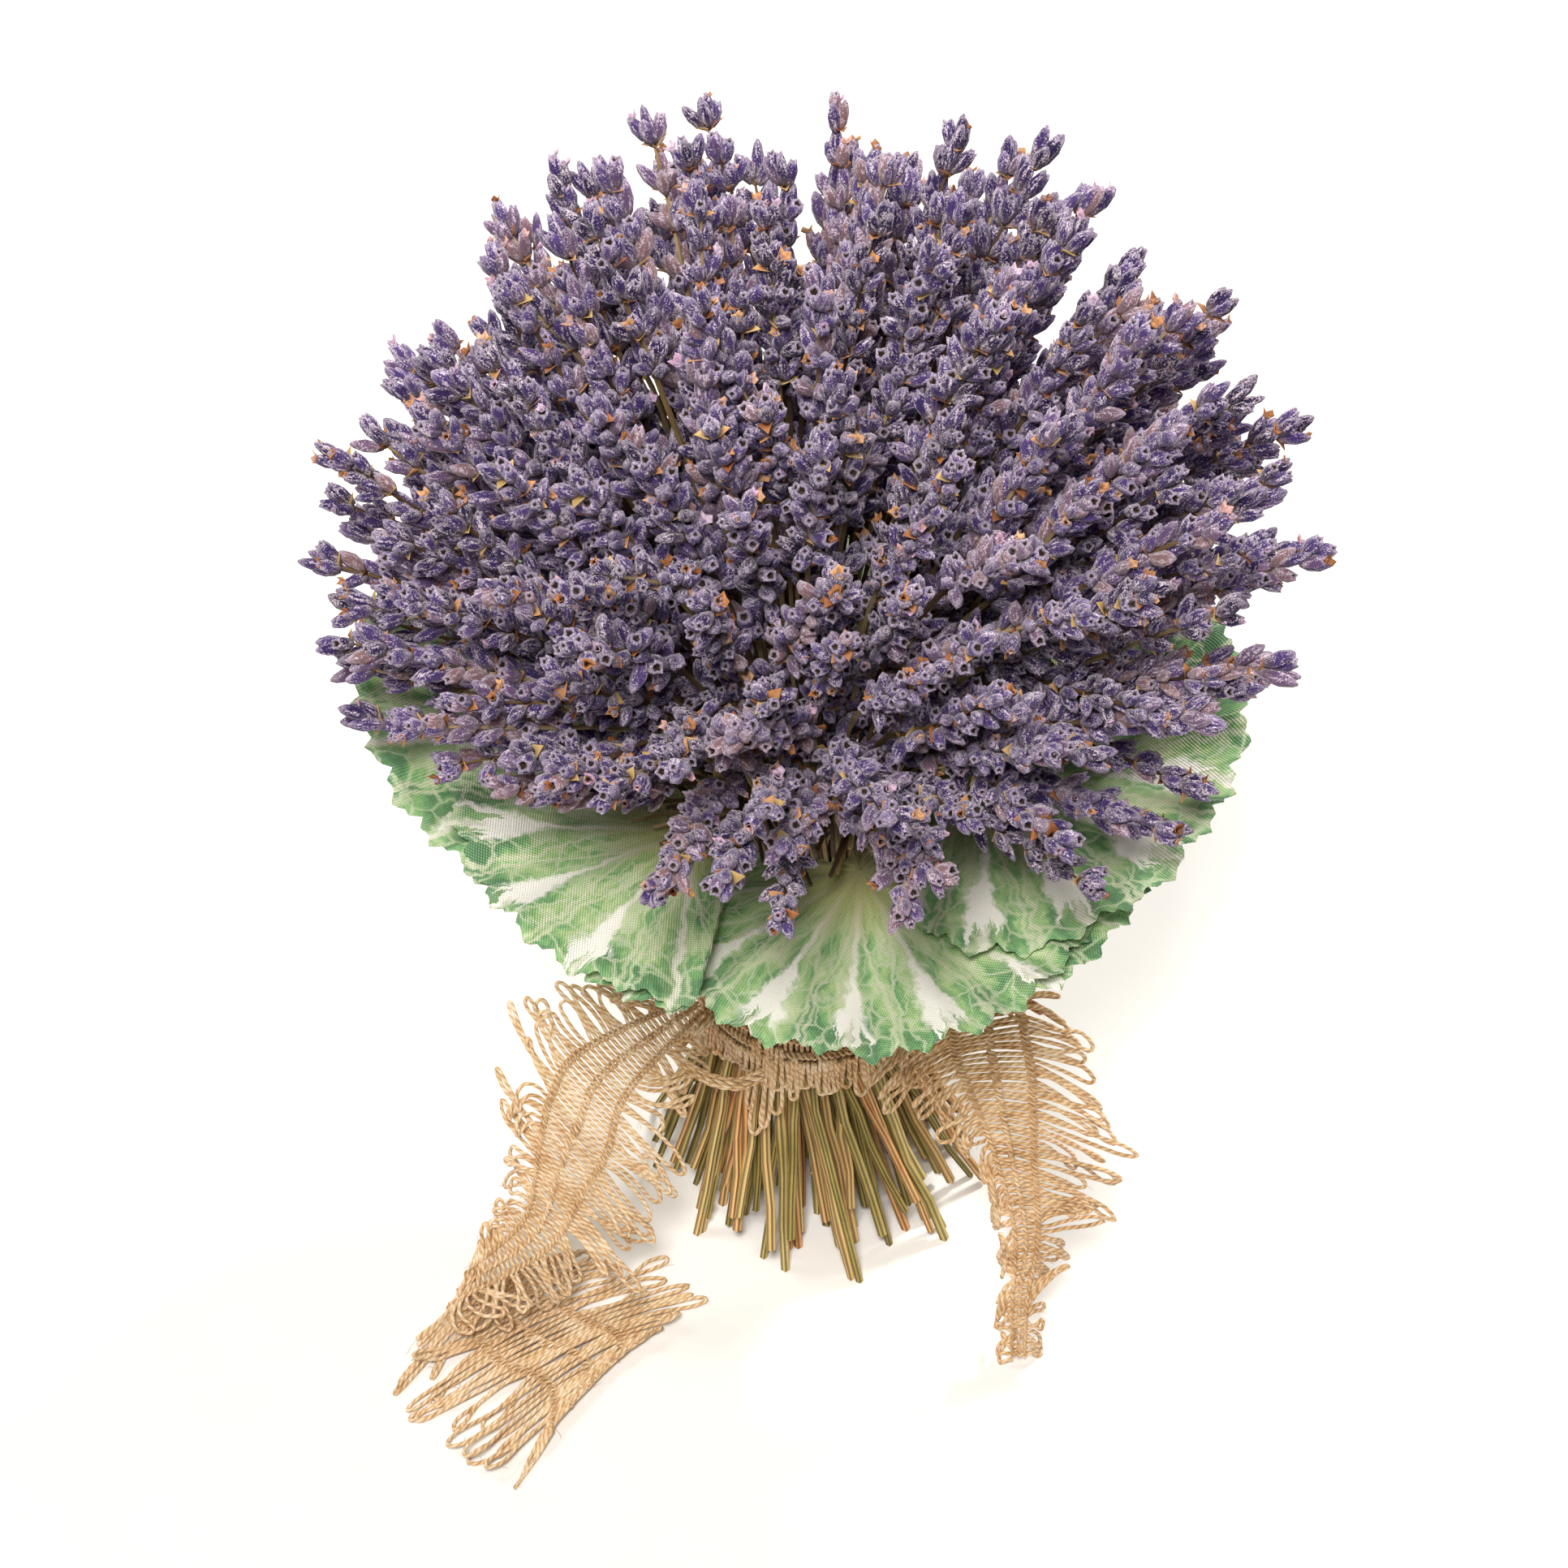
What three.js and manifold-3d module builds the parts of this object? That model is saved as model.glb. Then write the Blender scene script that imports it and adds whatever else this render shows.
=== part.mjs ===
// A hand-tied bunch of dried lavender, standing on its own cut stems.
//
// Flower spikes fan out into a dome above a collar of pleated fabric leaves. The stems
// cross at the waist, where a looped jute trim binds them, and splay out again below it
// to the cut ends that the bunch stands on. Millimetres, +Z up. The origin is the middle
// of the central stem's cut end, and the front of the bunch looks along -Y.

import * as THREE from 'three';
import { mergeVertices } from 'three/addons/utils/BufferGeometryUtils.js';
import Module from 'manifold-3d';

const wasm = await Module();
wasm.setup();

// ---- Driving dimensions ----

const SEED = 7;
const GAP = 0.3; // clear space between neighbouring pieces
const GOLDEN_ANGLE = Math.PI * (3 - Math.sqrt(5));

// The dome of flower spikes: where their tips lie, and the point that they fan out from.
const SPIKE_COUNT = 225;
const SPRAY_COUNT = 45;
const FAN_CENTRE = new THREE.Vector3(-3, 0, 165);
const DOME_HEIGHT = 216; // of its widest ring
const DOME_HALF_WIDTH = 112;
const DOME_HALF_DEPTH = 97;
const DOME_RISE = 104;
const DOME_LAST_ANGLE = 101; // degrees down from the top, so the last tips droop
const TIP_SCATTER = 1.6;
const TIP_DEPTH_SCATTER = 8;
const TIP_LEAST_SPACING = 16.5;
const SPREADING_PASSES = 12;

// One spike: whorls of florets on a stalk, each whorl a crown that opens upwards.
const SPIKE_LENGTH = 54;
const SPIKE_LENGTH_SCATTER = 7;
const SPIKE_LONGEST_SHARE = 0.5; // of the way from the fan centre to its tip
const WHORL_COUNT = 3;
const FLORETS = 4;
const STALK_RADIUS = 2.4;
const FLORET_REACH = 7.4; // of the widest whorl, from the spike's axis
const LOWEST_WHORL_SHARE = 0.66; // of that reach
const WHORL_WIDEST_AT = 0.62; // of its height
const WHORL_TURN = 0.75; // florets, from each whorl to the next

// A spray: spikes whose stems run together at a knot, and one trunk from there to the waist.
const KNOT_SHARE = 0.42; // of the way from the fan centre to the dome
const KNOT_RADIUS = 5.2;
const TRUNK_RADIUS = 2.1;
const TRUNK_MIDDLE_HEIGHT = 145;
const TRUNK_FLARE = 1.2; // from the waist to there, in its thickness and in its reach

// The cut stems below, and the waist that they cross in, packed solid.
const WAIST_TOP = 100;
const WAIST_SHOULDER = 58; // the packed stems part below here
const WAIST_BOTTOM = 35;
const WAIST_RADIUS = 22;
const WAIST_BOTTOM_RADIUS = 15;
const TRUNK_RING_RADIUS = 19.6; // of the outermost trunks, at the waist
const STEM_RADIUS = 1.15;
const STEM_TWIST = 26; // degrees, from the waist to the floor
const STEM_TOP = 66;
const STEM_TURN_SCATTER = 0.6; // of the angle between neighbours
const STEM_REACH_SCATTER = 3;
const STEM_END_SCATTER = 7; // in height, of the stems that don't reach the floor
const STEM_RINGS = [
  { count: 29, foot: 48, waist: 19.4, shortest: 0 },
  { count: 17, foot: 33, waist: 13, shortest: 2 },
  { count: 8, foot: 17, waist: 7, shortest: 4 },
];
const CENTRAL_STEM_RADIUS = 1.7;

// The collar of leaves: a shallow funnel that droops at the front.
const COLLAR_RADIUS = 43; // where the funnel's height is given
const COLLAR_HEIGHT = 150;
const COLLAR_SLOPE = 0.48;
const COLLAR_FRONT_DROOP = 0.45;
const COLLAR_CLEAR_OF_TIPS = 16;
const LEAF_HOLE_RADIUS = 33; // the leaves leave this much room for the stems
const LEAF_THICKNESS = 1; // of the folded fabric, measured straight down
const LEAF_LAYER_STEP = 4.3;
const LEAF_MIDDLE_LAYER = 1.7;
const PLEAT_HEIGHT = 1.3;
const SCALLOP_SHARE = 0.07; // of the blade's reach
const LEAF_SEGMENTS = 24;
const LEAF_LEVELS = [0.55, 1]; // of the blade's reach
const LEAF_ROUND_TO = 88; // degrees either side of straight outwards
const LEAF_NARROW_FROM = 140;
const LEAF_NARROWING = 0.75; // of the blade's reach, at its base

// The wired petioles, from the jute band up to the blades' inner edges.
const PETIOLE_RADIUS = 1.15;
const PETIOLE_FOOT = 26.3; // from the middle of the bunch, as are the next two
const PETIOLE_KINK = 30.6;
const PETIOLE_TOP = 35.2;
const PETIOLE_KINK_DROP = 3;
const PETIOLE_OVERLAP = 0.5; // of the blade's thickness
const LEAVES = [
  { name: 'leaf_front', turn: -70, reach: 35, radius: 62, layer: 1 },
  { name: 'leaf_front_right', turn: -40, reach: 38, radius: 57, layer: 0 },
  { name: 'leaf_front_left', turn: -137, reach: 38, radius: 61, layer: 3 },
  { name: 'leaf_left', turn: 174, reach: 48, radius: 66, layer: 2 },
  { name: 'leaf_right', turn: -6, reach: 44, radius: 64, layer: 2 },
  { name: 'leaf_back_right', turn: 42, reach: 42, radius: 62, layer: 3 },
  { name: 'leaf_back', turn: 90, reach: 42, radius: 62, layer: 1 },
  { name: 'leaf_back_left', turn: 134, reach: 42, radius: 62, layer: 0 },
];

// The jute trim: a band round the waist, and two tails of looped fringe.
const BAND_BOTTOM = 62;
const BAND_TOP = 92;
const BAND_INNER_RADIUS = 22.6;
const BAND_OUTER_RADIUS = 28.5;
const TRIM_THICKNESS = 4;
// Each rung of a tail crosses it from edge to edge, from the band to the tail's end. The
// left one hangs to the floor, and its end is turned under and spread there.
const LEFT_TAIL = [
  { left: [-25.8, -13.1, 85], middle: [-25.8, -13.1, 77], right: [-25.8, -13.1, 69] },
  { left: [-70, -24, 91], middle: [-53, -32, 69], right: [-34, -38, 50] },
  { left: [-81, -30, 85], middle: [-60, -42, 60], right: [-35, -48, 28] },
  { left: [-79, -38, 63], middle: [-65, -48, 49], right: [-42, -55, 20] },
  { left: [-81, -46, 36], middle: [-72, -54, 29], right: [-63, -62, 12] },
  { left: [-87, -52, 23], middle: [-92, -62, 15], right: [-100, -69, 4] },
  { left: [-61, -41, 2.5], middle: [-83, -59, 2.5], right: [-107, -79, 2.5] },
  { left: [-32, -46, 2.5], middle: [-72, -69, 2.5], right: [-103, -91, 2.5] },
  { left: [-31, -59, 2.5], middle: [-59, -76, 2.5], right: [-92, -105, 2.5] },
  { left: [-51, -73, 2.5], middle: [-63, -92, 2.5], right: [-76, -114, 2.5] },
];
const RIGHT_TAIL = [
  { left: [23.4, -17, 69], middle: [23.4, -17, 77], right: [23.4, -17, 85] },
  { left: [16, -44, 86], middle: [42, -36, 99], right: [64, -28, 94] },
  { left: [19, -46, 76], middle: [46, -42, 87], right: [80, -38, 73] },
  { left: [35, -50, 68], middle: [49, -48, 73], right: [83, -44, 55] },
  { left: [45, -54, 54], middle: [52, -54, 59], right: [78, -52, 42] },
  { left: [49, -60, 33], middle: [56, -62, 39], right: [69, -60, 31] },
  { left: [49, -66, 16], middle: [55, -68, 19], right: [62, -66, 16] },
  { left: [50, -75, 2.5], middle: [55, -75, 2.5], right: [61, -75, 2.5] },
];

// ---- Materials ----

function matt(color, roughness) {
  return new THREE.MeshStandardMaterial({ color, roughness, metalness: 0 });
}

const lavender = matt(0x5f588c, 0.95);
const driedStem = matt(0x86813f, 0.85);
const printedFabric = matt(0x3f7a50, 0.8);
const juteYarn = matt(0xc19a6a, 0.95);

// ---- Meshes ----

const radians = THREE.MathUtils.degToRad;
const group = new THREE.Group();

function addPiece(name, geometry, material) {
  const piece = new THREE.Mesh(geometry, material);
  piece.name = name;
  group.add(piece);
}

// A repeatable sequence of numbers from 0 to 1.
function makeRandom(seed) {
  let state = seed;
  return () => {
    state = (state * 1664525 + 1013904223) % 4294967296;
    return state / 4294967296;
  };
}

function geometryFrom(points, triangles) {
  const geometry = new THREE.BufferGeometry();
  const positions = points.flatMap((p) => [p.x, p.y, p.z]);
  geometry.setAttribute('position', new THREE.Float32BufferAttribute(positions, 3));
  geometry.setIndex(triangles);
  return geometry;
}

// A closed skin over rings of points, listed from bottom to top and each counterclockwise
// about the way up. A ring of one point is a tip; an end ring of more gets a flat cap.
function skin(rings) {
  const points = rings.flat();
  const triangles = [];
  let start = 0;
  for (let k = 0; k + 1 < rings.length; k += 1) {
    const low = rings[k].length;
    const high = rings[k + 1].length;
    const next = start + low;
    for (let i = 0; i < Math.max(low, high); i += 1) {
      const j = (i + 1) % Math.max(low, high);
      if (low > 1) triangles.push(start + i, start + j, high > 1 ? next + j : next);
      if (high > 1) triangles.push(low > 1 ? start + i : start, next + j, next + i);
    }
    start = next;
  }
  for (let i = 1; i + 1 < rings[0].length; i += 1) triangles.push(0, i + 1, i);
  for (let i = 1; i + 1 < rings.at(-1).length; i += 1) {
    triangles.push(start, start + i, start + i + 1);
  }
  return geometryFrom(points, triangles);
}

// A ring of points about a centre, square to an axis and turned by a phase.
function ring(centre, axis, radius, count, phase = 0) {
  const up = new THREE.Vector3(0, 0, 1);
  const turn = new THREE.Quaternion().setFromUnitVectors(up, axis);
  return Array.from({ length: count }, (_, i) => {
    const angle = phase + (i / count) * 2 * Math.PI;
    const point = new THREE.Vector3(radius * Math.cos(angle), radius * Math.sin(angle), 0);
    return point.applyQuaternion(turn).add(centre);
  });
}

function toSolid(geometry) {
  const bare = new THREE.BufferGeometry();
  bare.setAttribute('position', geometry.getAttribute('position'));
  bare.setIndex(geometry.getIndex());
  const merged = mergeVertices(bare, 1e-4);
  return new wasm.Manifold(new wasm.Mesh({
    numProp: 3,
    vertProperties: new Float32Array(merged.getAttribute('position').array),
    triVerts: new Uint32Array(merged.getIndex().array),
  }));
}

function toGeometry(solid) {
  const mesh = solid.getMesh();
  const geometry = new THREE.BufferGeometry();
  geometry.setAttribute('position', new THREE.BufferAttribute(mesh.vertProperties, 3));
  geometry.setIndex(new THREE.BufferAttribute(mesh.triVerts, 1));
  return geometry;
}

// Several overlapping closed geometries as one.
function fuse(geometries) {
  const solids = geometries.map(toSolid);
  return toGeometry(solids.reduce((whole, solid) => whole.add(solid)));
}

// ---- The collar's shape ----

function collarHeight(x, y) {
  const radius = Math.hypot(x, y);
  const droop = COLLAR_FRONT_DROOP * Math.min(0, y / Math.max(radius, 1));
  return COLLAR_HEIGHT + (COLLAR_SLOPE + droop) * (radius - COLLAR_RADIUS);
}

// ---- Flower sprays ----

// The point of the dome at a share of its area, counted from the top.
function domePoint(share, turn, tilt = 0) {
  const cosine = 1 - share * (1 - Math.cos(radians(DOME_LAST_ANGLE)));
  const angle = Math.acos(cosine) + tilt;
  return new THREE.Vector3(
    DOME_HALF_WIDTH * Math.sin(angle) * Math.cos(turn),
    DOME_HALF_DEPTH * Math.sin(angle) * Math.sin(turn),
    DOME_HEIGHT + DOME_RISE * Math.cos(angle),
  );
}

// Tips that stand closer than the least spacing move apart, a little at a time.
function spreadTips(tips) {
  for (let pass = 0; pass < SPREADING_PASSES; pass += 1) {
    for (let i = 0; i < tips.length; i += 1) {
      for (let j = 0; j < i; j += 1) {
        const apart = tips[i].clone().sub(tips[j]);
        const distance = apart.length();
        if (distance < TIP_LEAST_SPACING) {
          apart.multiplyScalar((TIP_LEAST_SPACING / distance - 1) / 2);
          tips[i].add(apart);
          tips[j].sub(apart);
        }
      }
    }
  }
}

// Where each spike stands: its tip, the foot of its lowest whorl, and how it is turned.
function layOutSpikes() {
  const random = makeRandom(SEED);
  const scatter = (size) => (random() - 0.5) * 2 * size;
  const drawn = Array.from({ length: SPIKE_COUNT }, (_, i) => ({
    sideways: scatter(TIP_SCATTER),
    down: scatter(TIP_SCATTER),
    outward: scatter(TIP_DEPTH_SCATTER),
    longer: scatter(SPIKE_LENGTH_SCATTER),
    phase: random() * Math.PI,
    turn: i * GOLDEN_ANGLE,
    share: (i + 0.5) / SPIKE_COUNT,
  }));
  const tips = drawn.map((spike) => domePoint(
    spike.share,
    spike.turn + spike.sideways / DOME_HALF_WIDTH,
    spike.down / DOME_HALF_WIDTH,
  ));
  spreadTips(tips);
  return drawn.map((spike, i) => {
    const ray = tips[i].clone().sub(FAN_CENTRE);
    const tip = FAN_CENTRE.clone().addScaledVector(ray, 1 + spike.outward / DOME_HALF_WIDTH);
    tip.z = Math.max(tip.z, collarHeight(tip.x, tip.y) + COLLAR_CLEAR_OF_TIPS);
    const axis = tip.clone().sub(FAN_CENTRE).normalize();
    const longest = SPIKE_LONGEST_SHARE * tip.distanceTo(FAN_CENTRE);
    const length = Math.min(SPIKE_LENGTH + spike.longer, longest);
    const foot = tip.clone().addScaledVector(axis, -length);
    return { tip, foot, axis, phase: spike.phase };
  });
}

// One spike on a stem that grows out of the knot. Inner and outer rings take turns up the
// axis, and each outer ring is half a floret round from the inner one below it.
function makeSpike(knot, spike) {
  const length = spike.tip.distanceTo(spike.foot);
  const at = (share) => spike.foot.clone().addScaledVector(spike.axis, share * length);
  const floret = (2 * Math.PI) / FLORETS;
  const rings = [[knot]];
  for (let k = 0; k < WHORL_COUNT; k += 1) {
    const foot = at(k / WHORL_COUNT);
    const rim = at((k + WHORL_WIDEST_AT) / WHORL_COUNT);
    const size = THREE.MathUtils.lerp(LOWEST_WHORL_SHARE, 1, k / (WHORL_COUNT - 1));
    const phase = spike.phase + k * WHORL_TURN * floret;
    rings.push(ring(foot, spike.axis, STALK_RADIUS, FLORETS, phase));
    rings.push(ring(rim, spike.axis, FLORET_REACH * size, FLORETS, phase + floret / 2));
  }
  rings.push([spike.tip]);
  return skin(rings);
}

// The trunk rises close to upright from the waist, then leans out to the knot.
function makeTrunk(knot, centreline) {
  const at = (reach, height) => new THREE.Vector3(
    reach * centreline.x,
    reach * centreline.y,
    height,
  );
  const waist = at(TRUNK_RING_RADIUS, WAIST_TOP + GAP);
  const middle = at(TRUNK_RING_RADIUS * TRUNK_FLARE, TRUNK_MIDDLE_HEIGHT);
  const up = new THREE.Vector3(0, 0, 1);
  const lean = knot.clone().sub(middle).normalize();
  const crown = knot.clone().addScaledVector(lean, KNOT_RADIUS);
  return skin([
    ring(waist, up, TRUNK_RADIUS, 4),
    ring(middle, up, TRUNK_RADIUS * TRUNK_FLARE, 4),
    ring(knot, lean, KNOT_RADIUS, 4),
    [crown],
  ]);
}

function addFlowerSprays() {
  const spikes = layOutSpikes();
  const sprays = Array.from({ length: SPRAY_COUNT }, (_, k) => {
    const share = (k + 0.5) / SPRAY_COUNT;
    const crown = domePoint(share, k * GOLDEN_ANGLE);
    const ray = crown.sub(FAN_CENTRE);
    return {
      axis: ray.clone().normalize(),
      knot: FAN_CENTRE.clone().addScaledVector(ray, KNOT_SHARE),
      centreline: new THREE.Vector2(Math.sqrt(share), 0).rotateAround(
        new THREE.Vector2(),
        k * GOLDEN_ANGLE,
      ),
      spikes: [],
    };
  });
  spikes.forEach((spike) => {
    const nearest = sprays.reduce(
      (best, spray) => (spray.axis.dot(spike.axis) > best.axis.dot(spike.axis) ? spray : best),
    );
    nearest.spikes.push(spike);
  });
  sprays.forEach((spray, k) => {
    const stems = spray.spikes.map((spike) => makeSpike(spray.knot, spike));
    const whole = fuse([makeTrunk(spray.knot, spray.centreline), ...stems]);
    addPiece(`flower_spray_${String(k + 1).padStart(2, '0')}`, whole, lavender);
  });
}

// ---- Cut stems ----

// One stem, from inside the waist down to its cut end.
function makeStem(top, cut, radius, sides) {
  const up = new THREE.Vector3(0, 0, 1);
  return skin([ring(cut, up, radius, sides), ring(top, up, radius, sides)]);
}

function addCutStems() {
  const random = makeRandom(SEED + 1);
  const waistProfile = [
    new THREE.Vector2(0, WAIST_BOTTOM),
    new THREE.Vector2(WAIST_BOTTOM_RADIUS, WAIST_BOTTOM),
    new THREE.Vector2(WAIST_RADIUS, WAIST_SHOULDER),
    new THREE.Vector2(WAIST_RADIUS, WAIST_TOP),
    new THREE.Vector2(0, WAIST_TOP),
  ];
  const packedWaist = new THREE.LatheGeometry(waistProfile, 12);
  packedWaist.rotateX(Math.PI / 2);
  const stems = [packedWaist];
  STEM_RINGS.forEach(({ count, foot, waist, shortest }) => {
    for (let i = 0; i < count; i += 1) {
      const turn = ((i + STEM_TURN_SCATTER * random()) / count) * 2 * Math.PI;
      const reach = foot + (random() - 0.5) * 2 * STEM_REACH_SCATTER;
      const end = i % 3 === 0 ? 0 : shortest + STEM_END_SCATTER * random();
      const topTurn = turn - radians(STEM_TWIST);
      const top = new THREE.Vector3(
        waist * Math.cos(topTurn),
        waist * Math.sin(topTurn),
        STEM_TOP,
      );
      const floor = new THREE.Vector3(reach * Math.cos(turn), reach * Math.sin(turn), 0);
      stems.push(makeStem(top, floor.lerp(top, end / STEM_TOP), STEM_RADIUS, 3));
    }
  });
  const centre = new THREE.Vector3(0, 0, STEM_TOP);
  stems.push(makeStem(centre, new THREE.Vector3(), CENTRAL_STEM_RADIUS, 6));
  addPiece('cut_stems', fuse(stems), driedStem);
}

// ---- Leaves ----

// How far the blade reaches from its centre, at an angle from straight outwards.
function leafReach(leaf, angle) {
  const narrowing = THREE.MathUtils.smoothstep(
    Math.abs(angle),
    radians(LEAF_ROUND_TO),
    radians(LEAF_NARROW_FROM),
  );
  const plain = leaf.radius * (1 - LEAF_NARROWING * narrowing);
  const inward = -leaf.reach * Math.cos(angle);
  const missed = leaf.reach * Math.abs(Math.sin(angle));
  if (inward <= 0 || missed >= LEAF_HOLE_RADIUS) return plain;
  const toHole = inward - Math.sqrt(LEAF_HOLE_RADIUS ** 2 - missed ** 2);
  return Math.min(plain, toHole);
}

// The height of a leaf's upper face over the floor: each layer of the collar has its own.
function leafHeight(leaf, x, y) {
  return collarHeight(x, y) + (leaf.layer - LEAF_MIDDLE_LAYER) * LEAF_LAYER_STEP;
}

// A pleated blade with a scalloped rim: every other spoke is a ridge that ends in a lobe,
// and those between are valleys. Both faces have the same triangles.
function makeBlade(leaf) {
  const turn = radians(leaf.turn);
  const pointAt = (share, i) => {
    const angle = ((i / LEAF_SEGMENTS) * 2 - 1) * Math.PI;
    const ridge = i % 2 === 0;
    const notch = ridge ? 0 : SCALLOP_SHARE * share ** 2;
    const reach = share * leafReach(leaf, angle) * (1 - notch);
    const x = leaf.reach * Math.cos(turn) + reach * Math.cos(turn + angle);
    const y = leaf.reach * Math.sin(turn) + reach * Math.sin(turn + angle);
    const pleat = (ridge ? PLEAT_HEIGHT : -PLEAT_HEIGHT) * share;
    return new THREE.Vector3(x, y, leafHeight(leaf, x, y) + pleat);
  };
  const top = [pointAt(0, 0)];
  LEAF_LEVELS.forEach((share) => {
    for (let i = 0; i < LEAF_SEGMENTS; i += 1) top.push(pointAt(share, i));
  });
  const bottom = top.map((p) => p.clone().setZ(p.z - LEAF_THICKNESS));
  const under = top.length;
  const triangles = [];
  const both = (a, b, c) => triangles.push(a, b, c, a + under, c + under, b + under);
  const id = (level, i) => 1 + level * LEAF_SEGMENTS + (i % LEAF_SEGMENTS);
  for (let i = 0; i < LEAF_SEGMENTS; i += 1) {
    both(0, id(0, i), id(0, i + 1));
    for (let level = 0; level + 1 < LEAF_LEVELS.length; level += 1) {
      both(id(level, i), id(level + 1, i), id(level + 1, i + 1));
      both(id(level, i), id(level + 1, i + 1), id(level, i + 1));
    }
    const a = id(LEAF_LEVELS.length - 1, i);
    const b = id(LEAF_LEVELS.length - 1, i + 1);
    triangles.push(a, a + under, b + under, a, b + under, b);
  }
  return geometryFrom([...top, ...bottom], triangles);
}

// The wired petiole, from the jute band up into the blade's inner edge.
function makePetiole(leaf) {
  const turn = radians(leaf.turn);
  const at = (reach, height) => new THREE.Vector3(
    reach * Math.cos(turn),
    reach * Math.sin(turn),
    height,
  );
  const up = new THREE.Vector3(0, 0, 1);
  const blade = leafHeight(leaf, at(PETIOLE_TOP, 0).x, at(PETIOLE_TOP, 0).y);
  return skin([
    ring(at(PETIOLE_FOOT, BAND_TOP + GAP), up, PETIOLE_RADIUS, 4),
    ring(at(PETIOLE_KINK, blade - PETIOLE_KINK_DROP), up, PETIOLE_RADIUS, 4),
    ring(at(PETIOLE_TOP, blade - PETIOLE_OVERLAP * LEAF_THICKNESS), up, PETIOLE_RADIUS, 4),
  ]);
}

function addLeaves() {
  LEAVES.forEach((leaf) => {
    addPiece(leaf.name, fuse([makeBlade(leaf), makePetiole(leaf)]), printedFabric);
  });
}

// ---- Jute trim ----

function addJuteBand() {
  const middle = (BAND_INNER_RADIUS + BAND_OUTER_RADIUS) / 2;
  const profile = [
    new THREE.Vector2(BAND_INNER_RADIUS, BAND_BOTTOM),
    new THREE.Vector2(middle, BAND_BOTTOM),
    new THREE.Vector2(BAND_OUTER_RADIUS, (BAND_BOTTOM + BAND_TOP) / 2),
    new THREE.Vector2(middle, BAND_TOP),
    new THREE.Vector2(BAND_INNER_RADIUS, BAND_TOP),
    new THREE.Vector2(BAND_INNER_RADIUS, BAND_BOTTOM),
  ];
  const band = new THREE.LatheGeometry(profile, 20);
  band.rotateX(Math.PI / 2);
  addPiece('jute_band', toGeometry(toSolid(band)), juteYarn);
}

// A strip of trim over its rungs, thickest along the stitched middle, where it may be bent.
function addTail(name, rungs) {
  const places = rungs.map(({ left, middle, right }) => ({
    left: new THREE.Vector3(...left),
    middle: new THREE.Vector3(...middle),
    right: new THREE.Vector3(...right),
  }));
  const sections = places.map(({ left, middle, right }, k) => {
    const before = places[Math.max(k - 1, 0)].middle;
    const after = places[Math.min(k + 1, places.length - 1)].middle;
    const along = after.clone().sub(before);
    const across = right.clone().sub(left);
    const face = along.cross(across).normalize().multiplyScalar(TRIM_THICKNESS / 2);
    return [left, middle.clone().sub(face), right, middle.clone().add(face)];
  });
  addPiece(name, skin(sections), juteYarn);
}

// ---- The bunch ----

addFlowerSprays();
addCutStems();
addLeaves();
addJuteBand();
addTail('jute_tail_left', LEFT_TAIL);
addTail('jute_tail_right', RIGHT_TAIL);

export default group;
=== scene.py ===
# A hand-tied bunch of dried lavender with a collar of fabric leaves and a looped jute tie.
# Metres, +Z up, and the front of the bunch looks along -Y.

import math
import random

import bmesh
import bpy
import numpy as np
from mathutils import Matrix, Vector


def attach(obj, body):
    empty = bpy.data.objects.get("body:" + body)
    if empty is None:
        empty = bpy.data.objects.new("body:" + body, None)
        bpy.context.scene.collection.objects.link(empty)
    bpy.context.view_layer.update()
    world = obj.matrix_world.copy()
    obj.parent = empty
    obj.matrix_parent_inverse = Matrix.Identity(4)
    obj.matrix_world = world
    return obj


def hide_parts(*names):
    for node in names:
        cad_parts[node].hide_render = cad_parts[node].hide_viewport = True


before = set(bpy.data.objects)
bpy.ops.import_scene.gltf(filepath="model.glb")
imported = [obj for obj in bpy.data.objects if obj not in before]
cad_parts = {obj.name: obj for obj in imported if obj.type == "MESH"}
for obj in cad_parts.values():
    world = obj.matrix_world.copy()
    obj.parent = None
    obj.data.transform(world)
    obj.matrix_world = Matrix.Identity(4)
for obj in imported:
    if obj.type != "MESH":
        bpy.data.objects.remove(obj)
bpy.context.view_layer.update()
bpy.ops.object.select_all(action="DESELECT")

# ---- Camera ----
# A long lens looks down on the front of the standing bunch, from just above and before it.

CAMERA_TARGET = Vector((-0.0068, 0, 0.143))
CAMERA_DISTANCE = 1.0
CAMERA_ELEVATION = math.radians(46)
CAMERA_LENS = 91.3  # millimetres, on a 36 mm sensor

camera_offset = Vector((0, -math.cos(CAMERA_ELEVATION), math.sin(CAMERA_ELEVATION)))
bpy.ops.object.camera_add(
    location=CAMERA_TARGET + camera_offset * CAMERA_DISTANCE,
    rotation=(math.pi / 2 - CAMERA_ELEVATION, 0, 0),
)
camera = bpy.context.object
camera.data.sensor_fit = "HORIZONTAL"
camera.data.lens = CAMERA_LENS
bpy.context.scene.camera = camera

# ---- How the stems are set in the bunch ----
# The bunch is built in the hand by adding one stem after another, so the flower spikes fan
# out from one place into a dome. Each stem bends in to the waist, where they are packed side
# by side, and splays out again below it.

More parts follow.
